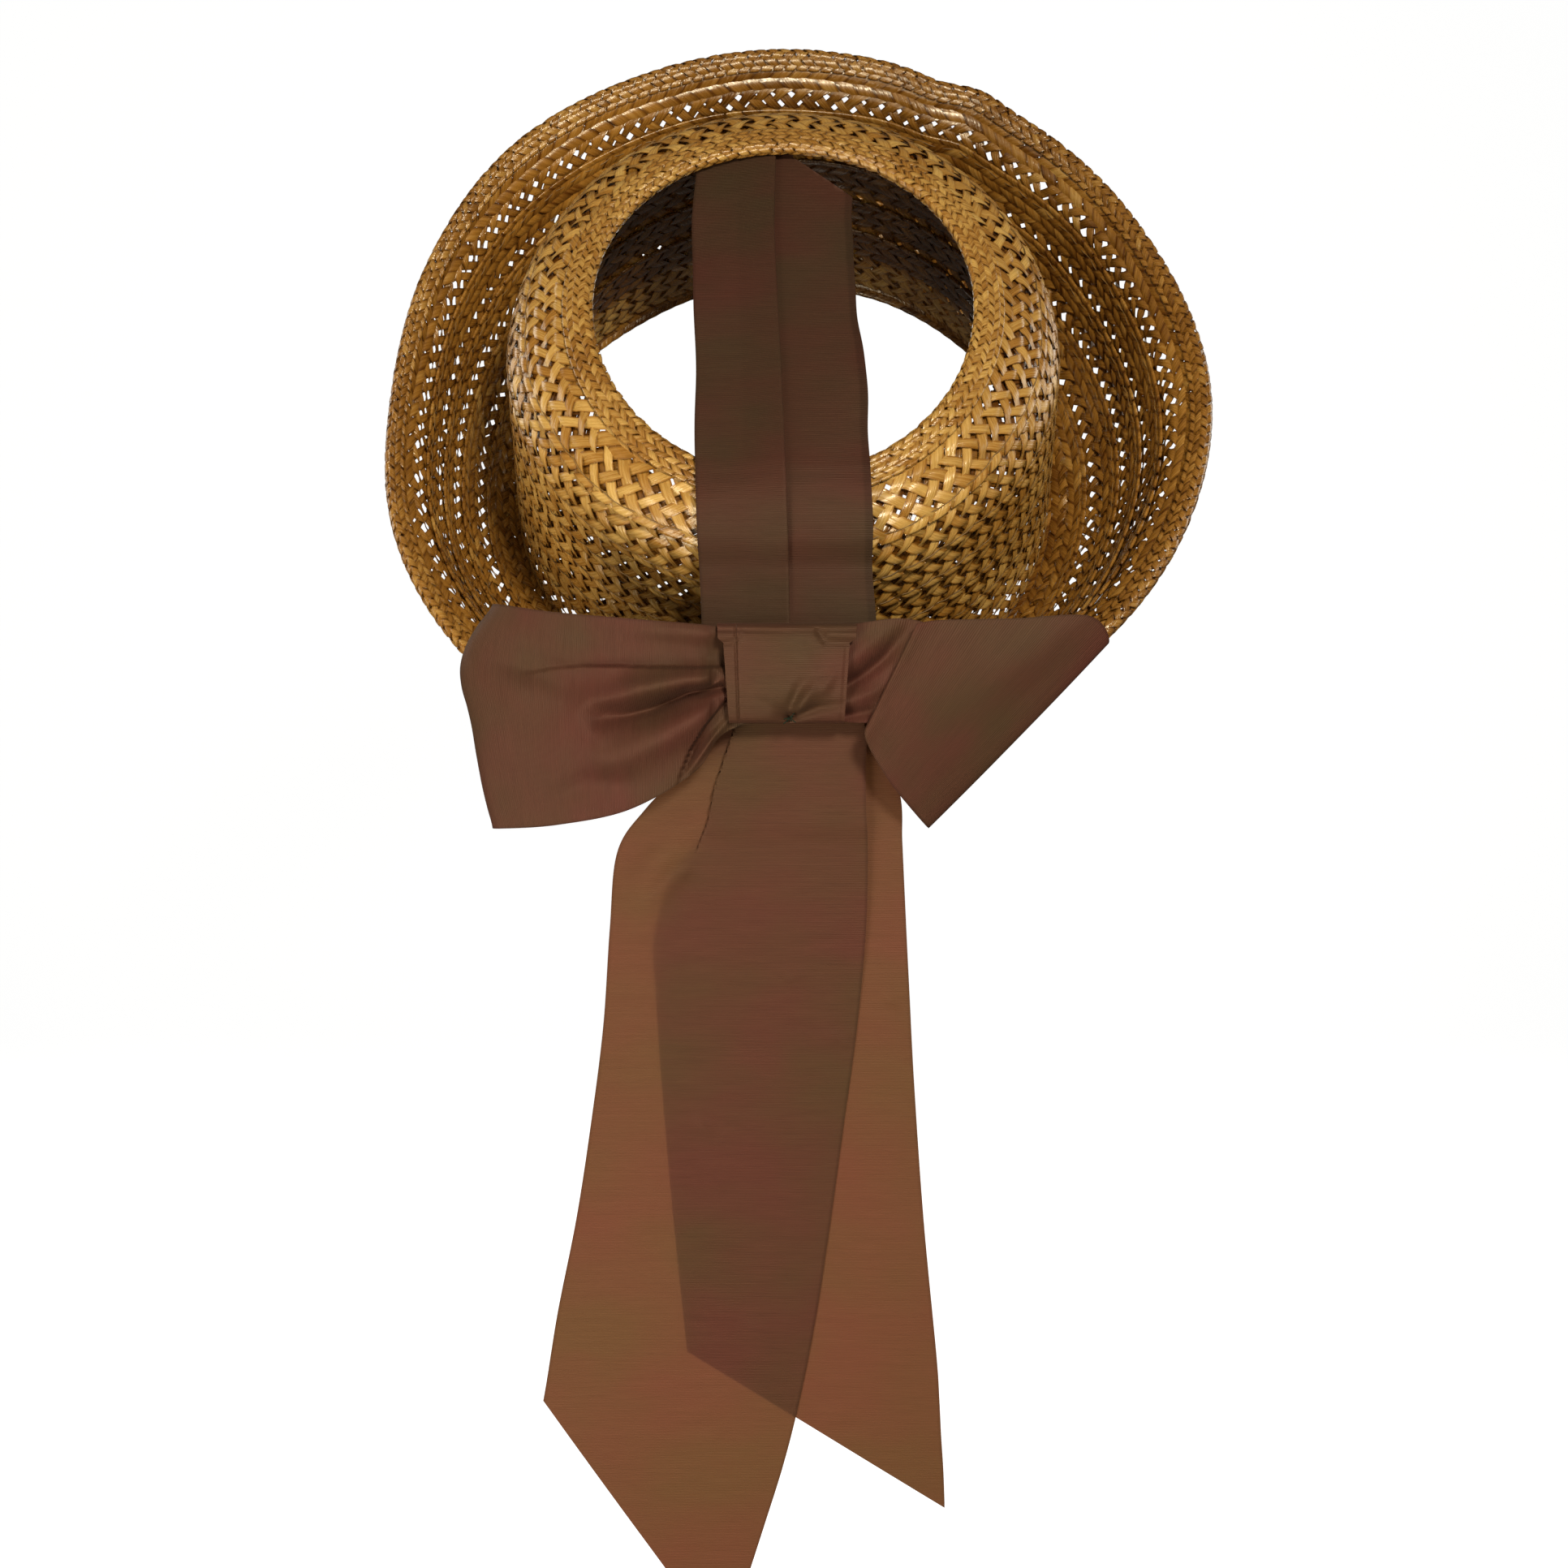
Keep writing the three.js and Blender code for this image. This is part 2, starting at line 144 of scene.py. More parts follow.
def crown_grid():
    k = np.linspace(0, len(CROWN) - 1, 97)
    rows = catmull(CROWN, k)
    phi = ANGLES[:, None]
    reach = ring_reach(rows[None, :, 1], rows[None, :, 2], rows[None, :, 3], phi)
    path = np.stack([reach * np.cos(phi), reach * np.sin(phi), np.broadcast_to(rows[None, :, 0], reach.shape)], -1)
    return resample(path, 180)


def brim_edge_at(phi):
    deg = np.degrees(phi) % 360
    edge = catmull(BRIM, deg / 22.5, True)
    off = (deg - 63.5) / 3.4
    return edge[..., 0] - 1.7 * off * np.exp(0.5 - 0.5 * off * off), edge[..., 1]


def brim_grid():
    prof = catmull(BRIM_PROFILE, np.linspace(0, len(BRIM_PROFILE) - 1, 97))
    phi = ANGLES[:, None]
    root = ring_reach(*CROWN[-1, 1:], phi) + 2.0
    reach, rise = brim_edge_at(ANGLES)
    r = root + (reach[:, None] - root) * prof[None, :, 0]
    path = np.stack([r * np.cos(phi), r * np.sin(phi), rise[:, None] * prof[None, :, 1]], -1)
    return resample(path, 180)


crown_pts, crown_len = crown_grid()
brim_pts, brim_len = brim_grid()
crown_surf = Surface(crown_pts)
brim_surf = Surface(brim_pts)


def fold_surface(surf, length, at_top, depth, off, lead):
    """Plait folded over an edge: down the outside, round the edge, down the inside."""
    phi = ANGLES[:, None]
    mean = length.mean()
    d = np.linspace(depth, lead, 24)
    arc = np.linspace(0, np.pi, 13)[1:-1]
    down = np.concatenate([d, lead - off * np.sin(arc), d[::-1]])
    out = np.concatenate([np.full(24, off), off * np.cos(arc), np.full(24, -off)])
    t = (down / mean) if at_top else 1 - down / mean
    P, N = surf.at(np.broadcast_to(phi, (len(ANGLES), len(t))), np.broadcast_to(t[None, :], (len(ANGLES), len(t))))
    path = P + N * out[None, :, None]
    if at_top:
        path = path[:, ::-1]
    grid, run = resample(path, 120)
    return Surface(grid), run


# ------------------------------------------------------------------ mesh building
class Pile:
    """Vertices, quads, strand coordinates and tones of many small things joined in one mesh."""

    def __init__(self):
        self.v, self.f, self.uv, self.tone, self.n = [], [], [], [], 0

    def add(self, v, f, uv, tone):
        v = v.reshape(-1, 3)
        self.v.append(v)
        self.f.append(f.reshape(-1, 4) + self.n)
        self.uv.append(uv.reshape(-1, 2))
        self.tone.append(np.asarray(tone, float).reshape(-1))
        self.n += len(v)

    def object(self, name, material, hat=True):
        v = np.concatenate(self.v)
        v = tip(v) if hat else v * 1e-3
        return mesh_object(name, v, np.concatenate(self.f), material, np.concatenate(self.uv), np.concatenate(self.tone))


def mesh_object(name, v, f, material, uv=None, tone=None):
    me = bpy.data.meshes.new(name)
    me.vertices.add(len(v))
    me.vertices.foreach_set("co", np.ascontiguousarray(v, np.float32).ravel())
    me.loops.add(f.size)
    me.loops.foreach_set("vertex_index", np.ascontiguousarray(f, np.int32).ravel())
    me.polygons.add(len(f))
    me.polygons.foreach_set("loop_start", np.arange(0, f.size, 4, dtype=np.int32))
    me.polygons.foreach_set("use_smooth", np.ones(len(f), bool))
    me.update(calc_edges=True)
    if uv is not None:
        layer = me.uv_layers.new(name="strand")
        layer.data.foreach_set("uv", np.ascontiguousarray(uv[f.ravel()], np.float32).ravel())
    if tone is not None:
        me.attributes.new("tone", "FLOAT", "POINT").data.foreach_set("value", np.ascontiguousarray(tone, np.float32))
    me.validate()
    me.materials.append(material)
    o = bpy.data.objects.new(name, me)
    scene.collection.objects.link(o)
    return o


def smooth_noise(n, waves, rng):
    """Smooth random curve closed over n samples, about -1 to 1."""
    x = np.arange(n) / n * 2 * np.pi
    return sum(rng.normal() * np.cos(k * x + rng.uniform(0, 6.3)) / math.sqrt(waves) for k in range(1, waves + 1))


def plait_row(pile, n, place, pitch, rng, crossings=4, amp=WEAVE_AMP, per=6, fold=3, width=(2.8, 4.0), open_zone=(0.35, 0.45), thick=SPLINT_THICK, base_tone=0.5, spread=0.15, hidden_shade=0.0, close=0.0):
    """One row of plait round the hat: n splints each way, over one and under one, turned back at both edges.
    place(x, s) gives points and normals for x in splint steps round the row and s from -1 to 1 across it.
    width is a splint's width in the open zone (its middle and half width in s) and outside it, where the plait is
    closed up.
    hidden darkens the upper part of the row, which the row above covers: this is painted shade, not a colour of the
    straw."""
    half = crossings / 2
    seg = per * crossings
    s_up = np.linspace(-half, half, seg + 1)
    shape = lambda c: c * (1.75 - 0.75 * c * c)
    th = np.linspace(0, np.pi, fold + 2)[1:-1]
    r = 1.15 * amp / pitch
    end = 1.0 if crossings % 2 == 0 else -1.0
    wave = shape(np.cos(2 * np.pi * s_up))
    xs = np.concatenate([s_up, np.full(fold, half), crossings - s_up[::-1], np.full(fold + 1, 3 * half)])
    ss = np.concatenate([s_up, half + r * np.sin(th), s_up[::-1], -half - r * np.sin(th), [-half]])
    hs = np.concatenate([wave, end * np.cos(th), -wave[::-1], -end * np.cos(th), [end]]) * amp
    m = len(xs)
    i = np.arange(n)
    free = np.cos(np.pi * ss / crossings)[None, :]
    wob = rng.normal(0, 0.05, (n, 1)) * free + 0.07 * free * np.sin(2 * np.pi * (ss[None, :] * 0.23 + rng.uniform(0, 1, (n, 1))))
    x = i[:, None] + xs[None, :] + wob
    s = np.broadcast_to(ss[None, :] / half, x.shape)
    near = np.clip((np.abs(ss / half - open_zone[0]) - open_zone[1]) / 0.16, 0, 1)
    wide = width[0] + (width[1] - width[0]) * near * near * (3 - 2 * near)
    wid = (rng.normal(1.0, 0.085, n).clip(0.8, 1.2) + close)[:, None] * wide[None, :]
    e = wid * math.sqrt(2) / 2 / pitch
    roll = rng.normal(0, 0.05, (n, 1)) * free
    pts = []
    for side in (-1, 0, 1):
        P, N = place(x + side * e, s)
        pts.append(P + N * (hs[None, :] + side * roll * wid)[..., None])
    L, M, R = pts
    T = np.gradient(M, axis=1)
    X = R - L
    X /= np.linalg.norm(X, axis=-1, keepdims=True)
    Nn = np.cross(X, T)
    Nn /= np.linalg.norm(Nn, axis=-1, keepdims=True) + 1e-12
    h = Nn * (thick / 2)
    V = np.stack([L, M + h, R, R, M - h, L], 2)
    step = np.linalg.norm(np.diff(M, axis=1), axis=-1)
    run = np.concatenate([np.zeros((n, 1)), np.cumsum(step, 1)], 1) + rng.uniform(0, 400, (n, 1))
    across = np.array([-1, 0, 1, 1, 0, -1.0]) * 0.5
    uv = np.empty(V.shape[:3] + (2,))
    uv[..., 0] = run[:, :, None]
    uv[..., 1] = across[None, None, :] + rng.integers(0, 900, n)[:, None, None] * 3.0
    a = np.arange(m - 1)[:, None]
    p, q = np.array([0, 1, 3, 4])[None, :], np.array([1, 2, 4, 5])[None, :]
    quad = np.stack([a * 6 + p, a * 6 + q, (a + 1) * 6 + q, (a + 1) * 6 + p], -1)
    F = quad[None] + (i * m * 6)[:, None, None, None]
    # painted shade: the upper part of the row, under the row above, is darkened by hidden
    cover = np.clip((0.02 - ss / half) / 0.22, 0, 1)
    tone = np.clip(base_tone + rng.normal(0, spread, (n, 1)), 0, 1) - hidden_shade * cover[None, :]
    pile.add(V, F, uv, np.repeat(tone, 6))


def tube(pile, path, radius, sides=5, tone=0.5, closed=False):
    path = np.asarray(path, float)
    n = len(path)
    T = (np.roll(path, -1, 0) - np.roll(path, 1, 0)) if closed else np.gradient(path, axis=0)
    T /= np.linalg.norm(T, axis=-1, keepdims=True)
    up = np.array([0.31, 0.27, 0.91])
    A = np.cross(T, up)
    A /= np.linalg.norm(A, axis=-1, keepdims=True)
    B = np.cross(T, A)
    w = np.arange(sides) / sides * 2 * np.pi
    rad = np.broadcast_to(np.asarray(radius, float).reshape(-1, 1, 1), (n, 1, 1))
    V = path[:, None] + rad * (A[:, None] * np.cos(w)[None, :, None] + B[:, None] * np.sin(w)[None, :, None])
    rows = n if closed else n - 1
    a = np.arange(rows)[:, None]
    k = np.arange(sides)[None, :]
    F = np.stack([a * sides + k, a * sides + (k + 1) % sides, (a + 1) % n * sides + (k + 1) % sides, (a + 1) % n * sides + k], -1)
    uv = np.stack(np.broadcast_arrays(np.arange(n)[:, None] * 1.0, np.arange(sides)[None, :] / sides), -1)
    pile.add(V, F, uv, np.full(n * sides, tone))


# ------------------------------------------------------------------ materials
def new_material(name):
    m = bpy.data.materials.new(name)
    m.use_nodes = True
    t = m.node_tree
    t.nodes.clear()
    out = t.nodes.new("ShaderNodeOutputMaterial")
    bsdf = t.nodes.new("ShaderNodeBsdfPrincipled")
    t.links.new(bsdf.outputs[0], out.inputs[0])
    return m, t, bsdf, out


def node(t, kind, ins=(), **props):
    n = t.nodes.new(kind)
    for k, v in props.items():
        setattr(n, k, v)
    for key, val in dict(ins).items():
        if isinstance(val, bpy.types.NodeSocket):
            t.links.new(val, n.inputs[key])
        else:
            n.inputs[key].default_value = val
    return n


def ramp(t, fac, stops):
    n = t.nodes.new("ShaderNodeValToRGB")
    el = n.color_ramp.elements
    while len(el) < len(stops):
        el.new(0.5)
    for e, (p, c) in zip(el, stops):
        e.position, e.color = p, (*c, 1)
    t.links.new(fac, n.inputs[0])
    return n.outputs[0]


def math_node(t, op, a, b=None, c=None):
    n = t.nodes.new("ShaderNodeMath")
    n.operation = op
    for k, v in enumerate((a, b, c)):
        if v is None:
            continue
        if isinstance(v, bpy.types.NodeSocket):
            t.links.new(v, n.inputs[k])
        else:
            n.inputs[k].default_value = v
    return n.outputs[0]


def mix_color(t, fac, a, b, mode="MIX"):
    n = t.nodes.new("ShaderNodeMix")
    n.data_type, n.blend_type = "RGBA", mode
    for k, v in ((0, fac), (6, a), (7, b)):
        if isinstance(v, bpy.types.NodeSocket):
            t.links.new(v, n.inputs[k])
        else:
            n.inputs[k].default_value = v if k == 0 else (*v, 1)
    return n.outputs[2]


def straw_material(name, dark, mid, light):
    m, t, bsdf, out = new_material(name)
    uv = node(t, "ShaderNodeUVMap", uv_map="strand").outputs[0]
    tone = node(t, "ShaderNodeAttribute", attribute_name="tone").outputs["Fac"]
    pos = node(t, "ShaderNodeTexCoord").outputs["Object"]
    # lengthwise fibres
    stretch = node(t, "ShaderNodeMapping", {"Vector": uv, "Scale": (0.1, 5.5, 1.0)}).outputs[0]
    fibre = node(t, "ShaderNodeTexNoise", {"Vector": stretch, "Scale": 1.0, "Detail": 3.0, "Roughness": 0.6}).outputs["Fac"]
    blotch = node(t, "ShaderNodeTexNoise", {"Vector": pos, "Scale": 26.0, "Detail": 2.0}).outputs["Fac"]
    knots = node(t, "ShaderNodeTexNoise", {"Vector": node(t, "ShaderNodeMapping", {"Vector": uv, "Scale": (0.06, 0.6, 1.0)}).outputs[0], "Scale": 1.0, "Detail": 1.0}).outputs["Fac"]
    # place across the splint, 0 in the middle and 1 at both edges
    across = math_node(t, "ADD", node(t, "ShaderNodeSeparateXYZ", {0: uv}).outputs[1], 0.5)
    across = math_node(t, "MULTIPLY", math_node(t, "FRACT", math_node(t, "DIVIDE", across, 3.0)), 3.0)
    across = math_node(t, "ABSOLUTE", math_node(t, "MULTIPLY_ADD", across, 2.0, -1.0))
    # painted shade: rim darkens each splint towards both edges, in place of the dark outlines between splints
    rim = node(t, "ShaderNodeMapRange", {"Value": across, "From Min": 0.62, "From Max": 1.0, "To Min": 0.0, "To Max": 0.3}).outputs[0]
    v = math_node(t, "MULTIPLY_ADD", tone, 0.55, 0.0)
    v = math_node(t, "MULTIPLY_ADD", fibre, 0.5, v)
    v = math_node(t, "MULTIPLY_ADD", blotch, 0.24, v)
    v = math_node(t, "MULTIPLY_ADD", knots, 0.2, v)
    v = math_node(t, "SUBTRACT", v, 0.24)
    v = math_node(t, "SUBTRACT", v, rim)
    col = ramp(t, v, [(0.12, dark), (0.48, mid), (0.85, light)])
    t.links.new(col, bsdf.inputs["Base Color"])
    rough = node(t, "ShaderNodeMapRange", {"Value": fibre, "From Min": 0.3, "From Max": 0.7, "To Min": 0.18, "To Max": 0.36}).outputs[0]
    t.links.new(rough, bsdf.inputs["Roughness"])
    bsdf.inputs["Specular IOR Level"].default_value = 1.0
    bsdf.inputs["Specular Tint"].default_value = (1.0, 0.88, 0.64, 1)
    bump = node(t, "ShaderNodeBump", {"Height": fibre, "Strength": 0.55, "Distance": 0.0004}).outputs[0]
    t.links.new(bump, bsdf.inputs["Normal"])
    return m


def ribbon_material(name, red, olive, glow, see_through, rib=0.0005):
    """Fine cross-ribbed ribbon; u runs along the ribbon and v across it, in metres."""
    m, t, bsdf, out = new_material(name)
    uv = node(t, "ShaderNodeUVMap", uv_map="strand").outputs[0]
    sep = node(t, "ShaderNodeSeparateXYZ", {0: uv})
    u = sep.outputs[0]
    wob = node(t, "ShaderNodeTexNoise", {"Vector": node(t, "ShaderNodeMapping", {"Vector": uv, "Scale": (420.0, 45.0, 1.0)}).outputs[0], "Scale": 1.0, "Detail": 1.0}).outputs["Fac"]
    phase = math_node(t, "MULTIPLY_ADD", wob, 6.0, math_node(t, "MULTIPLY", u, 2 * math.pi / rib))
    wave = math_node(t, "SINE", phase)
    thread = node(t, "ShaderNodeTexNoise", {"Vector": node(t, "ShaderNodeMapping", {"Vector": uv, "Scale": (1400.0, 60.0, 1.0)}).outputs[0], "Scale": 1.0, "Detail": 2.0, "Roughness": 0.7}).outputs["Fac"]
    fine = node(t, "ShaderNodeTexNoise", {"Vector": node(t, "ShaderNodeMapping", {"Vector": uv, "Scale": (900.0, 3200.0, 1.0)}).outputs[0], "Scale": 1.0, "Detail": 1.0}).outputs["Fac"]
    cloud = node(t, "ShaderNodeTexNoise", {"Vector": node(t, "ShaderNodeMapping", {"Vector": uv, "Scale": (26.0, 17.0, 1.0)}).outputs[0], "Scale": 1.0, "Detail": 3.0}).outputs["Fac"]
    shade = ramp(t, cloud, [(0.36, olive), (0.62, red)])
    streak = node(t, "ShaderNodeTexNoise", {"Vector": node(t, "ShaderNodeMapping", {"Vector": uv, "Scale": (330.0, 9.0, 1.0)}).outputs[0], "Scale": 1.0, "Detail": 2.0}).outputs["Fac"]
    lines = math_node(t, "MULTIPLY_ADD", thread, 0.42, 0.75)
    lines = math_node(t, "MULTIPLY_ADD", streak, 0.08, lines)
    lines = math_node(t, "MULTIPLY_ADD", wave, 0.08, lines)
    # a little darker along both edges of the ribbon
    off = math_node(t, "ABSOLUTE", math_node(t, "SUBTRACT", sep.outputs[1], 0.0355), 0.0)
    edge = ramp(t, math_node(t, "MULTIPLY_ADD", off, 1000.0, -34.5), [(0.0, (0, 0, 0)), (0.75, (1, 1, 1))])
    lines = math_node(t, "MULTIPLY", lines, math_node(t, "MULTIPLY_ADD", edge, -0.28, 1.0))
    col = mix_color(t, 1.0, shade, node(t, "ShaderNodeCombineColor", {0: lines, 1: lines, 2: lines}).outputs[0], "MULTIPLY")
    t.links.new(col, bsdf.inputs["Base Color"])
    bsdf.inputs["Roughness"].default_value = 0.5
    bsdf.inputs["Specular IOR Level"].default_value = 0.14
    bsdf.inputs["Specular Tint"].default_value = (1.0, 0.72, 0.5, 1)
    bsdf.inputs["Sheen Weight"].default_value = 0.03
    bsdf.inputs["Sheen Roughness"].default_value = 0.4
    bsdf.inputs["Sheen Tint"].default_value = (0.75, 0.5, 0.34, 1)
    h = math_node(t, "MULTIPLY_ADD", thread, 0.6, math_node(t, "MULTIPLY", wave, 0.28))
    h = math_node(t, "MULTIPLY_ADD", fine, 0.25, h)
    bump = node(t, "ShaderNodeBump", {"Height": h, "Strength": 0.4, "Distance": 0.0003}).outputs[0]
    t.links.new(bump, bsdf.inputs["Normal"])
    if see_through > 0:
        tr = node(t, "ShaderNodeBsdfTranslucent", {"Color": (*glow, 1)})
        mixs = t.nodes.new("ShaderNodeMixShader")
        mixs.inputs[0].default_value = see_through
        t.links.new(bsdf.outputs[0], mixs.inputs[1])
        t.links.new(tr.outputs[0], mixs.inputs[2])
        t.links.new(mixs.outputs[0], out.inputs[0])
    return m


def plain_material(name, color, rough, spec=0.4):
    m, t, bsdf, out = new_material(name)
    pos = node(t, "ShaderNodeTexCoord").outputs["Object"]
    noise = node(t, "ShaderNodeTexNoise", {"Vector": pos, "Scale": 900.0, "Detail": 2.0}).outputs["Fac"]
    col = ramp(t, noise, [(0.3, tuple(c * 0.7 for c in color)), (0.7, tuple(min(1, c * 1.25) for c in color))])
    t.links.new(col, bsdf.inputs["Base Color"])
    bsdf.inputs["Roughness"].default_value = rough
    bsdf.inputs["Specular IOR Level"].default_value = spec
    return m


STRAW = straw_material("straw", (0.095, 0.029, 0.0025), (0.30, 0.127, 0.0165), (0.56, 0.325, 0.078))
STRAW_EDGE = straw_material("straw_edge", (0.085, 0.026, 0.0025), (0.27, 0.112, 0.0145), (0.52, 0.295, 0.068))
RIBBON = ribbon_material("ribbon", (0.077, 0.0236, 0.0148), (0.058, 0.0305, 0.0136), (0.125, 0.042, 0.022), 0.04)
# the strip's ribbon is a darker copy of the same ribbon: painted shade
RIBBON_STRIP_SHADED = ribbon_material("ribbon_strip_painted_shade", (0.060, 0.0205, 0.0118), (0.0435, 0.0248, 0.0112), (0.11, 0.04, 0.022), 0.04)
RIBBON_TAIL = ribbon_material("ribbon_tail", (0.106, 0.0345, 0.0205), (0.086, 0.0432, 0.0183), (0.145, 0.053, 0.0172), 0.26)
THREAD = plain_material("thread", (0.2, 0.105, 0.027), 0.5)
TUFT = plain_material("tuft", (0.014, 0.018, 0.009), 0.8, 0.1)

# ------------------------------------------------------------------ camera first
cam_data = bpy.data.cameras.new("camera")
cam_data.sensor_width = 36.0
cam_data.lens = 2000.0 / 1932.0 * 36.0
cam_data.clip_start = 0.01
camera = bpy.data.objects.new("camera", cam_data)
camera.location = (0.0002, -0.5774, -0.0437)
camera.rotation_euler = (math.radians(84.0), 0, 0)
scene.collection.objects.link(camera)
scene.camera = camera

# ------------------------------------------------------------------ straw rows
def even(x):
    return int(round(x / 2.0)) * 2


def row_on(surf, length, lower, width, first, shingle):
    """place() for a row whose lower edge is at t=lower, shingled over the next row. The first row starts flush with the edge plait."""
    base = 0.5 if first else 0.0
    mean = length.mean()
    half = width / 2 / mean
    mid = lower - half

    def place(phi, s):
        P, N = surf.at(phi, mid + s * half)
        return P + N * (shingle * (base + (1 - base) * s))[..., None], N
    return place, mid


def add_row(pile, threads, surf, length, lower, width, seed, splint, zone, crossings=4, hidden_shade=0.0, base_tone=0.5, first=False, right=0.0, front=0.0, shingle=SHINGLE[0]):
    rng = np.random.default_rng(seed)
    place_phi, mid = row_on(surf, length, lower, width, first, shingle)
    ring, _ = surf.at(ANGLES, np.full(len(ANGLES), mid))
    around = np.linalg.norm(np.roll(ring, -1, 0) - ring, axis=-1).sum()
    n = even(around / (width / crossings))
    pitch = around / n
    shift = rng.uniform(0, 1)
    drift = np.append(smooth_noise(720, 12, rng), 0) * 0.04
    drift[-1] = drift[0]

    def place(x, s):
        phi = (x + shift) / n * 2 * np.pi
        d = np.interp((phi / (2 * np.pi) % 1) * 720, np.arange(721), drift)
        return place_phi(phi, s + d)
    # the plait is pulled tighter in places, and on the right and in front
    turn = (np.arange(n) + shift + crossings / 2) / n * 2 * np.pi
    close = 0.085 * smooth_noise(n, 9, rng) + right * np.clip(np.cos(turn), 0, 1) + front * np.clip(np.sin(turn), 0, 1) ** 2
    plait_row(pile, n, place, pitch, rng, crossings, width=splint, open_zone=zone, base_tone=base_tone, hidden_shade=hidden_shade, close=close)
    # sewing thread near the row's lower edge
    m = even(around / 1.7)
    ph = np.arange(m) / m * 2 * np.pi
    st = round(around / 6.2)
    wave = np.cos(ph * st)
    d = np.interp(ph / (2 * np.pi) * 720, np.arange(721), drift)
    P, N = place_phi(ph, 1 - 4.6 / width + d + 0.025 * np.sin(ph * st * 0.5))
    tube(threads, P + N * (0.42 + 0.22 * wave)[:, None], 0.15, 5, 0.5, True)


threads = Pile()
crown_upper, crown_lower = Pile(), Pile()
# crown rows: base tone 0.72, lighter than the brim's, is painted light; rows below the first get 0.78 of painted shade
# on their covered upper parts
for k, low in enumerate(CROWN_ROWS):
    wide, cross = (21.0, 3) if k == 0 else (28.0, 4)
    add_row(crown_upper if k < 4 else crown_lower, threads, crown_surf, crown_len, low / CROWN_SLANT, wide, 100 + k, (2.95 if k < 4 else 3.2, 4.0), (0.3, 0.42), cross, 0.0 if k == 0 else 0.78, 0.72, first=k == 0)
brim_inner, brim_outer = Pile(), Pile()
BRIM_OPEN = [(0.05, 0.12), (0.1, 0.16), (0.1, 0.17), (0.02, 0.1), (0.08, 0.15)]
# brim rows: base tone 0.34, darker than the crown's, is painted shade, with 0.15 more painted shade on their covered
# upper parts
for k, low in enumerate(BRIM_ROWS):
    wide, cross = (18.0, 3) if k == 0 else (25.0, 4)
    add_row(brim_inner if k < 3 else brim_outer, threads, brim_surf, brim_len, low, wide, 200 + k, (2.5, 4.0), BRIM_OPEN[k], cross, 0.15, 0.34, right=0.08, front=0.24, shingle=SHINGLE[1])


def add_fold(pile, surf, run, seed, ends, splint, base_tone=0.5):
    rng = np.random.default_rng(seed)
    ring, _ = surf.at(ANGLES, np.full(len(ANGLES), 0.5))
    around = np.linalg.norm(np.roll(ring, -1, 0) - ring, axis=-1).sum()
    n = even(around / (run.mean() / ends))

    def place(x, s):
        return surf.at(x / n * 2 * np.pi, 0.5 + s / 2)
    plait_row(pile, n, place, around / n, rng, ends, amp=0.36, per=6, base_tone=base_tone, width=splint, thick=0.34, open_zone=(0.0, 0.5))


crown_fold, crown_run = fold_surface(crown_surf, crown_len, True, 8.0, 1.65, 1.65)
brim_fold, brim_run = fold_surface(brim_surf, brim_len, False, 5.4, 1.9, 1.9)
crown_edge_pile, brim_edge_pile = Pile(), Pile()
# the crown's edge plait is painted lighter (0.66) and the brim's darker (0.42): painted light and painted shade
add_fold(crown_edge_pile, crown_fold, crown_run, 301, 5, (2.25, 2.35), 0.66)
add_fold(brim_edge_pile, brim_fold, brim_run, 302, 3, (2.5, 2.6), 0.42)


def put(o, slot, *nodes):
    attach(o, "root")
    if nodes:
        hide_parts(*nodes)
    return o


put(crown_upper.object("crown_rows_upper", STRAW), "straw", "crown")
put(crown_lower.object("crown_rows_lower", STRAW), "straw", "crown")
put(brim_inner.object("brim_rows_inner", STRAW), "straw", "brim")
put(brim_outer.object("brim_rows_outer", STRAW), "straw", "brim")
put(crown_edge_pile.object("crown_edge_plait", STRAW_EDGE), "straw_edge", "crown_edge")
put(brim_edge_pile.object("brim_edge_plait", STRAW_EDGE), "straw_edge", "brim_edge")
put(threads.object("row_threads", THREAD), "thread")

# ------------------------------------------------------------------ ribbon
def sheet_object(name, P, uv, material):
    """P: (nu, nv, 3) in mm in the outer frame; uv in mm."""
    nu, nv = P.shape[:2]
    a = np.arange(nu - 1)[:, None]
    b = np.arange(nv - 1)[None, :]
    F = np.stack([a * nv + b, a * nv + b + 1, (a + 1) * nv + b + 1, (a + 1) * nv + b], -1).reshape(-1, 4)
    return mesh_object(name, P.reshape(-1, 3) * 1e-3, F, material, uv.reshape(-1, 2) * 1e-3)


def smoothstep(x, a, b):
    t = np.clip((x - a) / (b - a), 0, 1)
    return t * t * (3 - 2 * t)


def run_length(P):
    """Distance along the first axis of a grid, from its middle line."""
    mid = P[:, P.shape[1] // 2]
    return np.concatenate([[0], np.cumsum(np.linalg.norm(np.diff(mid, axis=0), axis=-1))])


def crease(x, z, pts, width, depth):
    """Soft ridge or valley along a line of (x, z, strength) points: signed depth at each (x, z)."""
    best = np.full(x.shape, 1e9)
    amp = np.zeros(x.shape)
    wid = np.zeros(x.shape)
    pts = np.asarray(pts, float)
    for p, q in zip(pts[:-1], pts[1:]):
        d = q[:2] - p[:2]
        t = np.clip(((x - p[0]) * d[0] + (z - p[1]) * d[1]) / (d @ d), 0, 1)
        dist = np.hypot(x - p[0] - t * d[0], z - p[1] - t * d[1])
        near = dist < best
        best = np.where(near, dist, best)
        amp = np.where(near, p[2] + t * (q[2] - p[2]), amp)
    return depth * amp * np.exp(-(best / width) ** 2)


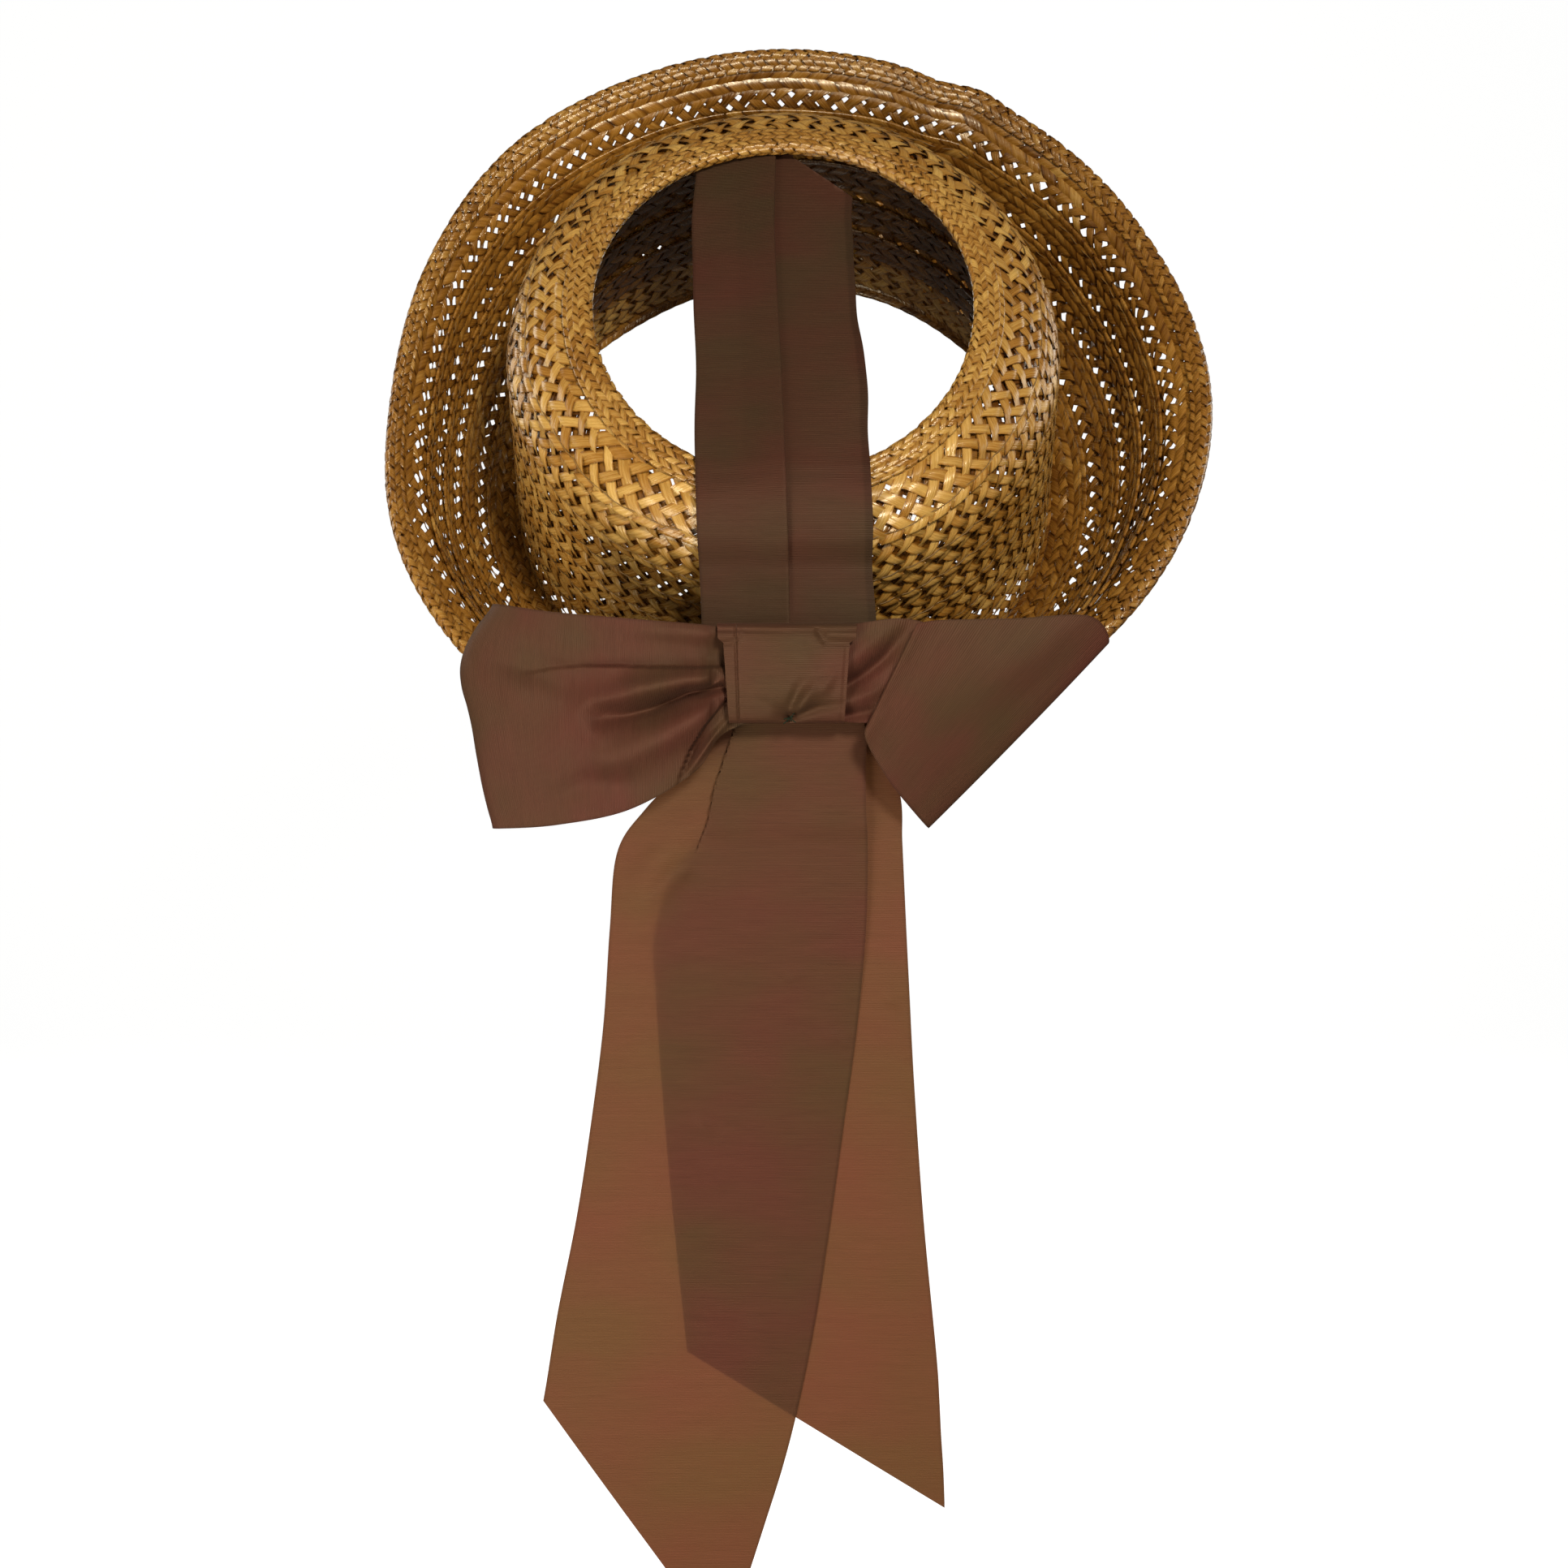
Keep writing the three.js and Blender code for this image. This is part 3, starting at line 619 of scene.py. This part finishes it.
# strip over the crown: fore, height, middle in the hat's frame, then y, z, middle
STRIP_ON_HAT = np.array([
    (66, 90.9, -3.0), (56, 91.6, -3.0), (30, 93, -3.3), (0, 94.8, -2.3), (-30, 96.7, -1.1), (-58, 98.6, -0.2),
    (-66, 98.9, 0.1), (-74, 97.6, 0.4), (-82.6, 91.6, 0.8), (-88, 84.6, 1.0)])
STRIP_PLUMB = np.array([(-119.6, -38, 1.1), (-121.6, -47, 1.3), (-122.4, -57, 1.3)])


def make_strip():
    on = STRIP_ON_HAT
    rows = np.concatenate([
        np.stack([on[:, 2], on[:, 0] * CT - on[:, 1] * ST, on[:, 0] * ST + on[:, 1] * CT], -1),
        np.stack([STRIP_PLUMB[:, 2], STRIP_PLUMB[:, 0], STRIP_PLUMB[:, 1]], -1)])
    path, total = resample(catmull(rows, np.linspace(0, len(rows) - 1, 400))[None], 190)
    path, total = path[0], total[0]
    d = np.linspace(0, total, 190)
    T = np.gradient(path[:, 1:], axis=0)
    T /= np.linalg.norm(T, axis=-1, keepdims=True)
    nor = np.stack([T[:, 1], -T[:, 0]], -1)
    if nor[95, 0] > 0:
        nor = -nor
    # section across: left half laps over the right half
    sec = np.array([(-24.5, 0.15), (-12, 0.35), (-2, 0.75), (0.0, 0.85), (0.55, 0.78), (0.62, 0.62), (0.4, 0.48), (-0.4, 0.42), (-5, 0.30), (-10.2, 0.22),
                    (-10.8, 0.12), (-10.7, -0.02), (-10, -0.08), (-5, -0.12), (0, -0.12), (4, -0.05), (12, 0.0), (24.5, 0.0)])
    k = np.linspace(0, len(sec) - 1, 70)
    sx = np.interp(k, np.arange(len(sec)), sec[:, 0])
    sh = np.interp(k, np.arange(len(sec)), sec[:, 1] * 2.2)
    vv = np.concatenate([[0], np.cumsum(np.hypot(np.diff(sx), np.diff(sh)))])
    D, S = np.meshgrid(d, sx, indexing="ij")
    edge = np.abs(S / 24.5) ** 3 * np.sign(S)
    wav = 0.8 * np.sin(D / 14.0 + 0.6) + 0.4 * np.sin(D / 7.3 + 1.0) + 0.15 * np.sin(D / 3.4 + 2.0)
    wav2 = 0.5 * np.sin(D / 15.0 + 2.0) + 0.25 * np.sin(D / 6.6)
    X = path[:, 0][:, None] + S + np.where(S > 0, wav * 0.6, wav2 * 0.5) * np.abs(edge)
    # turned corner at the front, on the right
    lim = 9.4 + (D - 8.0) * (24.0 - 9.4) / 14.0
    X = np.where(S > 0, np.minimum(X, path[:, 0][:, None] + np.clip(lim, 6.0, 30.0)), X)
    H = sh[None, :] + 0.35 * np.sin(D / 17.0 + S / 9.0) * smoothstep(D, 25, 60) * (1 - smoothstep(D, 130, 150))
    H = H + 0.5 * edge * edge * np.sin(D / 7.5 + np.sign(S) * 1.3) * smoothstep(D, 20, 40) * (1 - smoothstep(D, 130, 150))
    Y = path[:, 1][:, None] + nor[:, 0][:, None] * H
    Z = path[:, 2][:, None] + nor[:, 1][:, None] * H
    P = np.stack([X, Y, Z], -1)
    uv = np.stack(np.broadcast_arrays(d[:, None], vv[None, :]), -1)
    # the strip uses the darker copy of the ribbon: painted shade
    o = sheet_object("strip_ribbon", P, uv, RIBBON_STRIP_SHADED)
    put(o, "ribbon", "crown_ribbon")


# loops: xu, zu, xl, zl, y, side, belly
LOOP_LEFT = np.array([
    (-4, -50, -4, -70, -132.6, 0, 0), (-16.5, -48.5, -16.5, -72, -132.4, 0, 0), (-24, -48, -24, -80, -129, 0, 0),
    (-42, -46.5, -42, -93, -124, 0, 1), (-63, -44.5, -62, -99, -121.5, -1, 1), (-76, -42.5, -75, -102, -121.5, -6, 1),
    (-79.8, -41.6, -81, -103.2, -126.5, -9.2, 0), (-77.5, -41.2, -78, -103, -131.6, -7, -0.6), (-63, -43.2, -62, -101.5, -135.2, -1.5, -1.8),
    (-42, -45, -42, -97, -137.5, 0, -3), (-24, -46.4, -24, -86.5, -139, 0, -2), (-16.5, -47.3, -16.5, -76.5, -138.6, 0, 0),
    (-4, -48.5, -4, -71.5, -138, 0, 0)], float)
LOOP_RIGHT = np.array([
    (6, -50, 6, -70, -132.6, 0, 0), (19, -50, 19, -70, -132.4, 0, 0), (31, -47, 27, -80, -129, 0, 0), (56, -46.5, 34, -91, -125, 0, 1),
    (78, -47, 38.5, -99.5, -127, 0, 0.6), (88.8, -52, 40.2, -102.8, -132.2, 0.6, 0), (83, -44.4, 35.4, -97.4, -136.2, 0, -0.7),
    (62, -45, 29, -89.4, -139.2, 0, -1.6), (43, -45.4, 23.6, -80.6, -141.2, 0, -1.4), (36.4, -46.2, 21.9, -76.4, -142.4, 0, -0.5),
    (36.0, -46.6, 22.6, -74.0, -140.6, 0, 0), (38.5, -46.2, 27.5, -73.4, -138.6, 0, 0), (31.0, -45.0, 25.0, -73.0, -137.4, 0, 0.5), (19, -46.5, 19, -73.2, -138.4, 0, 0),
    (6, -48.5, 6, -71.5, -138, 0, 0)], float)


def loop_grid(table, nu, nv, outline=None):
    k = np.linspace(0, len(table) - 1, nu * 4)
    c = catmull(table, k)
    path = np.stack([(c[:, 0] + c[:, 2]) / 2 + c[:, 5], c[:, 4] + c[:, 6], (c[:, 1] + c[:, 3]) / 2], -1)
    run = np.concatenate([[0], np.cumsum(np.linalg.norm(np.diff(path, axis=0), axis=-1))])
    even_k = np.interp(np.linspace(0, run[-1], nu), run, k)
    c = catmull(table, even_k)
    t = np.linspace(0, 1, nv)[None, :]
    bow = 4 * t * (1 - t)
    end = bow if outline is None else catmull(np.array(outline)[:, None], np.linspace(0, len(outline) - 1, nv))[:, 0][None, :]
    col = lambda i: c[:, i][:, None]
    P = np.stack([col(0) + (col(2) - col(0)) * t + col(5) * end, col(4) + col(6) * bow, col(1) + (col(3) - col(1)) * t], -1)
    return P, even_k


def lap(x, z, pts, width, depth):
    """One-sided fold: depth falls away from the line on its right-hand side only, looking along the points."""
    best = np.full(x.shape, 1e9)
    amp = np.zeros(x.shape)
    hand = np.zeros(x.shape)
    pts = np.asarray(pts, float)
    for p, q in zip(pts[:-1], pts[1:]):
        d = q[:2] - p[:2]
        t = np.clip(((x - p[0]) * d[0] + (z - p[1]) * d[1]) / (d @ d), 0, 1)
        ox, oz = x - p[0] - t * d[0], z - p[1] - t * d[1]
        dist = np.hypot(ox, oz)
        near = dist < best
        best = np.where(near, dist, best)
        amp = np.where(near, p[2] + t * (q[2] - p[2]), amp)
        hand = np.where(near, d[0] * oz - d[1] * ox, hand)
    return depth * amp * np.where(hand < 0, np.exp(-best / width), 0.0) * np.clip(best / 0.5, 0, 1)


def make_left():
    nu, nv = 250, 112
    P, k = loop_grid(LOOP_LEFT, nu, nv, (0, 0.46, 0.82, 0.99, 0.95, 0.78, 0.64, 0.54, 0.43, 0.31, 0.16, 0))
    front = smoothstep(k, 6.2, 7.8)[:, None]
    x, z = P[..., 0], P[..., 2]
    # main fold out of the knot, widening to the left, hollow above it and a deep crease under it
    dy = crease(x, z, [(-12, -60.8, 1.0), (-26, -61.6, 1.0), (-40, -64.2, 0.8), (-50, -67.5, 0.35), (-58, -71, 0.0)], 3.6, -4.4)
    dy += lap(x, z, [(-72, -60.6, 0.0), (-63, -58.8, 0.35), (-54, -58.0, 0.6), (-45, -58.0, 0.8), (-37, -58.3, 0.9), (-26, -58.4, 1.0), (-12, -58.2, 1.0)][::-1], 5.5, 3.2)
    dy += crease(x, z, [(-12, -63.2, 1.0), (-17, -63.6, 1.0), (-25.9, -65.2, 1.0), (-30.7, -67.5, 0.9), (-36, -69.6, 0.5), (-43, -71.3, 0.25), (-49, -71.8, 0.0)], 1.2, 4.6)
    dy += crease(x, z, [(-20, -64.6, 0.6), (-30.7, -67.8, 1.0), (-40, -70.8, 0.9), (-49, -71.2, 0.9), (-54, -68.2, 0.1)], 3.2, 3.5)
    # second fold under it, its edge turned over a narrow hollow
    dy += crease(x, z, [(-13, -66.6, 0.8), (-19, -69.0, 1.0), (-29.7, -75.6, 1.0), (-43, -81.5, 0.6), (-54, -85, 0.0)], 4.6, -3.6)
    dy += lap(x, z, [(-13, -64.5, 0.6), (-15.8, -66.9, 0.8), (-21.1, -73.5, 1.0), (-25.2, -80.2, 1.0), (-27.6, -86.0, 0.5), (-28.6, -89.0, 0.1)][::-1], 3.4, 6.0)
    dy += crease(x, z, [(-13.5, -71.0, 1.0), (-19.6, -78.0, 1.0), (-25.6, -86.2, 0.7)], 1.1, -2.2)
    # broad soft hollows and swells
    dy += crease(x, z, [(-84, -53, 0.7), (-72, -57, 1.0), (-58, -62, 0.8), (-50, -64, 0.1)], 5.0, 2.2)
    dy += crease(x, z, [(-60, -47, 0.5), (-44, -52, 1.0), (-28, -53, 0.8), (-14, -54, 0.6)], 3.6, 1.4)
    dy += crease(x, z, [(-86, -62, 0.5), (-76, -70, 1.0), (-66, -82, 0.8), (-62, -94, 0)], 9.0, -1.3)
    dy += crease(x, z, [(-40, -86, 0.4), (-50, -80, 1.0), (-58, -76, 0.5)], 6.0, -1.3)
    dy += crease(x, z, [(-66, -96, 0.3), (-54, -90, 1.0), (-40, -90, 0.6), (-32, -90, 0.0)], 3.8, 1.2)
    dy += crease(x, z, [(-14, -49.5, 1.0), (-30, -48.5, 0.6), (-45, -47.5, 0)], 2.4, -1.6)
    P[..., 1] += 1.2 * dy * front * (0.5 + 0.5 * smoothstep(-x, 15.5, 21))
    P[..., 1] += front * 2.0 * (1 - smoothstep(-x, 14, 21))
    # nothing in front of the knot's own front
    P[..., 1] = np.where((front > 0.5) & (x > -19), np.maximum(P[..., 1], -140.4), P[..., 1])
    t = np.linspace(0, 1, nv)[None, :]
    # pleats where the back of the loop is gathered
    back = (1 - smoothstep(k, 3.2, 5.6))[:, None]
    P[..., 1] += back * 2.0 * np.sin(t * 2 * np.pi * 4)
    uv = np.stack(np.broadcast_arrays(run_length(P)[:, None], 71 * t), -1)
    o = sheet_object("loop_left_ribbon", P, uv, RIBBON)
    put(o, "ribbon", "bow_loop_left")


def make_right():
    P, k = loop_grid(LOOP_RIGHT, 210, 90)
    x, z = P[..., 0], P[..., 2]
    front = (smoothstep(k, 5.2, 6.6) * (1 - smoothstep(k, 8.6, 9.2)))[:, None]
    dy = crease(x, z, [(87, -46.5, 0.9), (72, -53, 1.0), (57, -62, 0.8), (44, -70, 0.0)], 8.0, -1.1)
    dy += crease(x, z, [(80, -58, 0.3), (66, -66, 1.0), (52, -76, 0.6), (42, -84, 0.0)], 8.0, 0.4)
    dy += crease(x, z, [(38, -50, 0.4), (34, -58, 1.0), (28, -68, 0.6)], 4.0, 0.8)
    P[..., 1] += dy * front
    neck = smoothstep(k, 11.2, 12.2)[:, None]
    dy = crease(x, z, [(17, -63.4, 1.0), (22, -60.2, 1.0), (28, -55.3, 1.0), (35, -47.4, 0.5)], 1.8, 2.6)
    dy += crease(x, z, [(17, -57.4, 1.0), (23, -52.6, 1.0), (30, -47.0, 0.6)], 3.0, -1.8)
    dy += crease(x, z, [(17, -67.6, 0.8), (24, -65.2, 0.9), (28, -62, 0.4)], 2.0, -1.5)
    dy += crease(x, z, [(17, -71.6, 1.0), (24, -70.2, 0.9)], 1.6, 2.0)
    P[..., 1] += dy * neck
    t = np.linspace(0, 1, 90)[None, :]
    back = (1 - smoothstep(k, 2.4, 4.4))[:, None]
    P[..., 1] += back * 2.4 * np.sin(t * 2 * np.pi * 4)
    uv = np.stack(np.broadcast_arrays(run_length(P)[:, None], 71 * t), -1)
    o = sheet_object("loop_right_ribbon", P, uv, RIBBON)
    put(o, "ribbon", "bow_loop_right")


def make_knot():
    nu, nv = 150, 160
    # round the knot: front from top to bottom, then the back
    w = np.linspace(0, 2 * np.pi, nu)
    c, s = np.cos(w), np.sin(w)
    rr = (np.abs(c) ** 4 + np.abs(s) ** 4) ** -0.25
    zz = -59.85 + 13.55 * c * rr
    yy = -135.5 - 6.0 * s * rr
    t = np.linspace(-1, 1, nv)
    Z = np.broadcast_to(zz[:, None], (nu, nv)).copy()
    Y = np.broadcast_to(yy[:, None], (nu, nv)).copy()
    f = np.clip((zz + 73.4) / 27.1, 0, 1)[:, None]
    left = -14.6 - 1.8 * f - 1.4 * smoothstep(f, 0.8, 0.86)
    right = 16.4 + 1.7 * f + 1.6 * smoothstep(f, 0.8, 0.86)
    X = left + (right - left) * (t[None, :] + 1) / 2
    front = smoothstep(-yy, 137.5, 140.5)[:, None] * np.ones((1, nv))
    dy = np.zeros_like(X)
    # folded pleat down the left, standing over the edge
    fold = -12.2 - 0.03 * (Z + 60)
    dy += -1.0 * smoothstep(X, fold - 0.12, fold + 0.22)
    dy += 0.45 * np.exp(-((X - fold + 0.28) / 0.3) ** 2)
    # top band
    dy += -0.7 * smoothstep(Z, -51.6, -51.0) * (smoothstep(X, 9.5, 12.5) + (1 - smoothstep(X, -12.5, -10.0)))
    dy += crease(X, Z, [(9.3, -48.6, 0.5), (11.4, -51.0, 1.0), (20, -51.4, 1.0)], 0.9, 1.5)
    dy += crease(X, Z, [(-17.5, -51.6, 1.0), (-14.0, -51.2, 1.0), (-11.5, -49.6, 0.4)], 0.5, 1.5)
    dy += crease(X, Z, [(-19, -48.1, 1.0), (0, -48.4, 0.7), (20, -48.0, 1.0)], 0.5, 0.8)
    # the band swells between its edges, and its right edge stands proud
    dy += -1.1 * np.exp(-((X - 1.0) / 8.0) ** 2) * smoothstep(Z, -71, -64)
    dy += 0.3 * smoothstep(X, right - 1.8, right - 0.6) * (1 - smoothstep(Z, -53, -51.6))
    # gather pulled in at the bottom, creases running up from it
    dy += 3.0 * np.exp(-(((X - 1.7) / 3.4) ** 2 + ((Z + 72.4) / 3.4) ** 2))
    dy += crease(X, Z, [(1.7, -71.6, 1.0), (5.5, -66.5, 0.8), (8.6, -62.5, 0.3), (10.5, -59.5, 0.0)], 1.7, -2.4)
    dy += crease(X, Z, [(1.7, -71.6, 1.0), (3.4, -66.0, 0.7), (5.4, -60.5, 0.0)], 1.6, 2.0)
    dy += crease(X, Z, [(1.7, -71.6, 1.0), (9.5, -69.0, 0.8), (16.0, -68.0, 0.3)], 1.1, 2.0)
    dy += crease(X, Z, [(1.7, -71.6, 1.0), (-4.5, -67.5, 0.7), (-8.5, -66.5, 0.0)], 1.2, 0.8)
    dy += crease(X, Z, [(3.0, -70.5, 0.6), (11.0, -63.5, 0.9), (15.0, -57.0, 0.0)], 1.8, -1.2)
    dy += crease(X, Z, [(-1.0, -54, 0.5), (6.0, -56, 0.8), (12.0, -60, 0.0)], 3.0, -0.5)
    Y += dy * front
    P = np.stack([X, Y, Z], -1)
    run = run_length(P)
    # ribs run across the knot's length as in the photo: level lines
    uv = np.stack(np.broadcast_arrays(run[:, None] + 63, 34 * (t[None, :] + 1) / 2 + 18), -1)
    o = sheet_object("knot_ribbon", P, uv, RIBBON)
    put(o, "ribbon", "bow_knot")


# tails: z, left, right, y
TAIL_FRONT = np.array([
    (-51, -12, 14.5, -127.6), (-74, -18.5, 22.4, -127.9), (-86, -27, 22.8, -128.4), (-98, -38.5, 23, -128.6), (-110, -46.4, 23.6, -128.6),
    (-132, -48.8, 23.2, -128.6), (-160, -51, 20.8, -128.6), (-188, -54.8, 17.2, -128.6), (-216, -59.3, 13.6, -128.6), (-244, -65, 9.6, -128.6),
    (-270, -69.4, 4.8, -128.6), (-290, -74.1, 0.1, -128.6), (-310, -78.5, -5.8, -128.6), (-330, -83.0, -11.9, -128.6), (-347, -87.0, -16.9, -128.6)])
TAIL_BACK = np.array([
    (-51, -11, 13.5, -125.6), (-74, -13, 27, -125.8), (-94, -18, 32.7, -126.0), (-107, -23, 33.4, -126.2), (-119, -31.5, 34, -126.6), (-135, -36.4, 34.8, -127.3), (-150, -36, 35.6, -128.0),
    (-176, -34.6, 37.1, -128.25), (-216, -31.6, 40.1, -128.25), (-256, -27.8, 44.1, -128.25), (-268, -26.9, 45, -128.25), (-280, -26.0, 45.7, -128.25),
    (-291, -25.2, 46.5, -128.25), (-301.4, -24.5, 47, -128.25)])


def tail(name, table, node_name, cut_left, cut_right, pleat, seed, material):
    """A hanging tail; cut_left and cut_right are the corner (x, z) points of its slanted end."""
    nu, nv = 220, 84
    t = np.linspace(0, 1, nv)
    k = np.linspace(0, len(table) - 1, 1200)
    fine = catmull(table, k)
    edge = lambda c, z: np.interp(-z, -fine[:, 0], fine[:, c])
    zc = lambda x: cut_left[1] + (x - cut_left[0]) * (cut_right[1] - cut_left[1]) / (cut_right[0] - cut_left[0])
    zs = np.linspace(-51, min(cut_left[1], cut_right[1]) - 0.01, 1500)
    P = np.empty((nu, nv, 3))
    g = np.linspace(0, 1, nu)
    for j, tv in enumerate(t):
        # each lengthwise thread ends at the cut
        xs = edge(1, zs) + (edge(2, zs) - edge(1, zs)) * tv
        over = zs - zc(xs)
        q = int(np.argmax(over <= 0)) if np.any(over <= 0) else len(zs) - 1
        end = zs[q] if q == 0 else zs[q - 1] + (zs[q] - zs[q - 1]) * over[q - 1] / max(over[q - 1] - over[q], 1e-9)
        z = -51 + g * (end + 51)
        P[:, j, 0] = np.interp(-z, -zs, xs)
        P[:, j, 2] = z
    x, z = P[..., 0], P[..., 2]
    y0 = edge(3, z)
    loose = smoothstep(-z, 80, 140)
    y = y0 + loose * 1.1 * np.sin(2 * np.pi * (x + 0.35 * z) / 150)
    left, right = edge(1, z), edge(2, z)
    spare = np.clip((71.0 - (right - left)) / 2, 0, 20)
    if pleat:
        # the left part lies behind a fold that runs down from the knot
        fx = np.interp(-z, [51, 74, 91.6, 100.7, 111.7, 118.4, 126], [-6, -13.5, -19.5, -21.3, -25.5, -32.5, -40])
        v = 71.0 * t[None, :]
        w1 = fx + spare - left                  # under the fold, from the left edge
        w2 = w1 + spare                         # back to the fold
        xa = left + v
        xb = fx + spare - (v - w1)
        xc = fx + (v - w2)
        scale = (right - left + 2 * spare) / 71.0
        v = v * scale
        xa, xb, xc = left + v, fx + spare - (v - w1), fx + (v - w2)
        px = np.where(v < w1, xa, np.where(v < w2, xb, xc))
        part = np.where(v < w1, 0.0, np.where(v < w2, (v - w1) / np.maximum(w2 - w1, 1e-6), 1.0))
        on = smoothstep(spare, 0.2, 3.0)
        P[..., 0] = np.where(spare > 0.05, px, x)
        y = y + on * (1.3 - 2.3 * part)
        x = P[..., 0]
        y = y + crease(x, z, [(-25, -110, 0.2), (-29, -115, 1.0), (-35, -121, 0.8), (-42, -124, 0.0)], 3.2, -1.5)
        y = y + crease(x, z, [(-30, -106, 0.4), (-36, -112, 1.0), (-40, -119, 0.6), (-43, -124, 0)], 4.0, 1.2)
    rng = np.random.default_rng(seed)
    for _ in range(5):
        a = rng.uniform(0, 2 * np.pi)
        y = y + loose * 0.28 * np.sin((x * np.cos(a) * 0.4 + z * np.sin(a)) / rng.uniform(13, 30) + rng.uniform(0, 6.3))
    # small sharp creases
    for a, b in (((-2.5, -141.8), (4.3, -148.6)), ((1.5, -142.5), (6.5, -146.0)), ((10.0, -161.1), (19.1, -164.5)), ((-26.4, -185.0), (-19.6, -190.7)), ((-12.7, -244.1), (-0.2, -253.2)), ((27.0, -150.0), (33.5, -154.5))):
        mid = ((a[0] + b[0]) / 2, (a[1] + b[1]) / 2, 1.0)
        y = y + crease(x, z, [(*a, 0.0), mid, (*b, 0.0)], 1.0, -0.6)
    P[..., 1] = y
    uv = np.stack(np.broadcast_arrays(-z, 71 * t[None, :]), -1)
    o = sheet_object(name, P, uv, material)
    put(o, "ribbon_tail", node_name)


make_strip()
make_left()
make_right()
make_knot()
tail("tail_front_ribbon", TAIL_FRONT, "tail_front", (-69.4, -270.0), (-17.6, -347.0), True, 41, RIBBON_TAIL)
tail("tail_back_ribbon", TAIL_BACK, "tail_back", (-27.8, -256.0), (47.0, -303.0), False, 41, RIBBON_TAIL)

# thread that gathers the knot
tuft = Pile()
trng = np.random.default_rng(7)
for i in range(9):
    a = trng.uniform(0, 2 * np.pi)
    ln = trng.uniform(0.9, 2.3)
    g = np.linspace(0, 1, 7)[:, None]
    d = np.array([math.cos(a), -0.5, math.sin(a)])
    c = np.array([1.7, -140.0, -71.6])
    path = c + d * g * ln + np.array([0, -0.6, 0]) * np.sin(g * np.pi) + trng.normal(0, 0.08, (7, 3))
    tube(tuft, path, 0.16, 5, 0.5)
put(tuft.object("knot_stitch", TUFT, hat=False), "thread")

# ------------------------------------------------------------------ stage and light
def backdrop():
    prof = [(-3.0, -0.62), (1.6, -0.62)]
    for a in np.linspace(0, math.pi / 2, 14)[1:]:
        prof.append((1.6 + 0.8 * math.sin(a), 0.18 - 0.8 * math.cos(a)))
    prof.append((2.4, 3.2))
    prof = np.array(prof)
    xs = np.linspace(-4, 4, 9)
    P = np.stack(np.broadcast_arrays(xs[None, :], prof[:, 0][:, None], prof[:, 1][:, None]), -1)
    nu, nv = P.shape[:2]
    a = np.arange(nu - 1)[:, None]
    b = np.arange(nv - 1)[None, :]
    F = np.stack([a * nv + b, a * nv + b + 1, (a + 1) * nv + b + 1, (a + 1) * nv + b], -1).reshape(-1, 4)
    m, t, bsdf, out = new_material("stage_white")
    bsdf.inputs["Base Color"].default_value = (0.5, 0.5, 0.497, 1)
    bsdf.inputs["Roughness"].default_value = 0.9
    bsdf.inputs["Specular IOR Level"].default_value = 0.05
    bsdf.inputs["Emission Color"].default_value = (1.0, 1.0, 0.995, 1)
    bsdf.inputs["Emission Strength"].default_value = 0.93
    m.cycles.emission_sampling = "NONE"
    o = mesh_object("floor", P.reshape(-1, 3), F, m)
    o.visible_diffuse = False
    o.visible_glossy = False


backdrop()


def area_light(name, loc, target, size, power, color=(1, 1, 1), spread=180.0):
    d = bpy.data.lights.new(name, "AREA")
    d.shape = "RECTANGLE"
    d.size, d.size_y = size
    d.energy = power
    d.color = color
    d.spread = math.radians(spread)
    o = bpy.data.objects.new(name, d)
    o.location = loc
    o.rotation_euler = (Vector(target) - Vector(loc)).to_track_quat("-Z", "Y").to_euler()
    o.visible_camera = False
    scene.collection.objects.link(o)


area_light("key", (0.17, -0.76, 0.23), (0, -0.1, -0.03), (0.12, 0.12), 4.8, (1.0, 0.97, 0.92))
area_light("fill", (-0.7, -1.0, 0.2), (0, -0.08, -0.1), (0.7, 0.7), 0.5)
area_light("front", (0.1, -1.2, -0.05), (0, -0.08, -0.12), (0.5, 0.5), 1.5)
area_light("bounce", (-0.34, -0.48, -0.36), (-0.04, -0.1, 0.02), (0.25, 0.25), 2.0, (1.0, 0.97, 0.92))
area_light("low_left", (-0.3, -0.62, -0.17), (-0.04, -0.12, -0.01), (0.16, 0.16), 1.2, (1.0, 0.97, 0.92))
area_light("back", (0.0, 1.3, 0.25), (0, 0, -0.05), (1.0, 0.8), 6.0, (1.0, 0.95, 0.88))
area_light("side_right", (1.2, 0.36, 0.44), (0.05, 0, 0), (0.6, 0.6), 4.5, (1.0, 0.97, 0.93))
area_light("side_left", (-1.2, 0.36, 0.44), (-0.05, 0, 0), (0.6, 0.6), 4.5, (1.0, 0.97, 0.93))
area_light("tail_back", (0.0, 0.40, -0.50), (0, -0.13, -0.25), (0.35, 0.2), 0.4, spread=60.0)

world = bpy.data.worlds.new("world")
scene.world = world
world.use_nodes = True
wt = world.node_tree
soft = wt.nodes["Background"]
soft.inputs[0].default_value = (1, 1, 1, 1)
soft.inputs[1].default_value = 0.075
white = wt.nodes.new("ShaderNodeBackground")
white.inputs[0].default_value = (1, 1, 1, 1)
white.inputs[1].default_value = 0.97
seen = wt.nodes.new("ShaderNodeLightPath")
both = wt.nodes.new("ShaderNodeMixShader")
wt.links.new(seen.outputs["Is Camera Ray"], both.inputs[0])
wt.links.new(soft.outputs[0], both.inputs[1])
wt.links.new(white.outputs[0], both.inputs[2])
wt.links.new(both.outputs[0], wt.nodes["World Output"].inputs[0])
scene.view_settings.view_transform = "Standard"
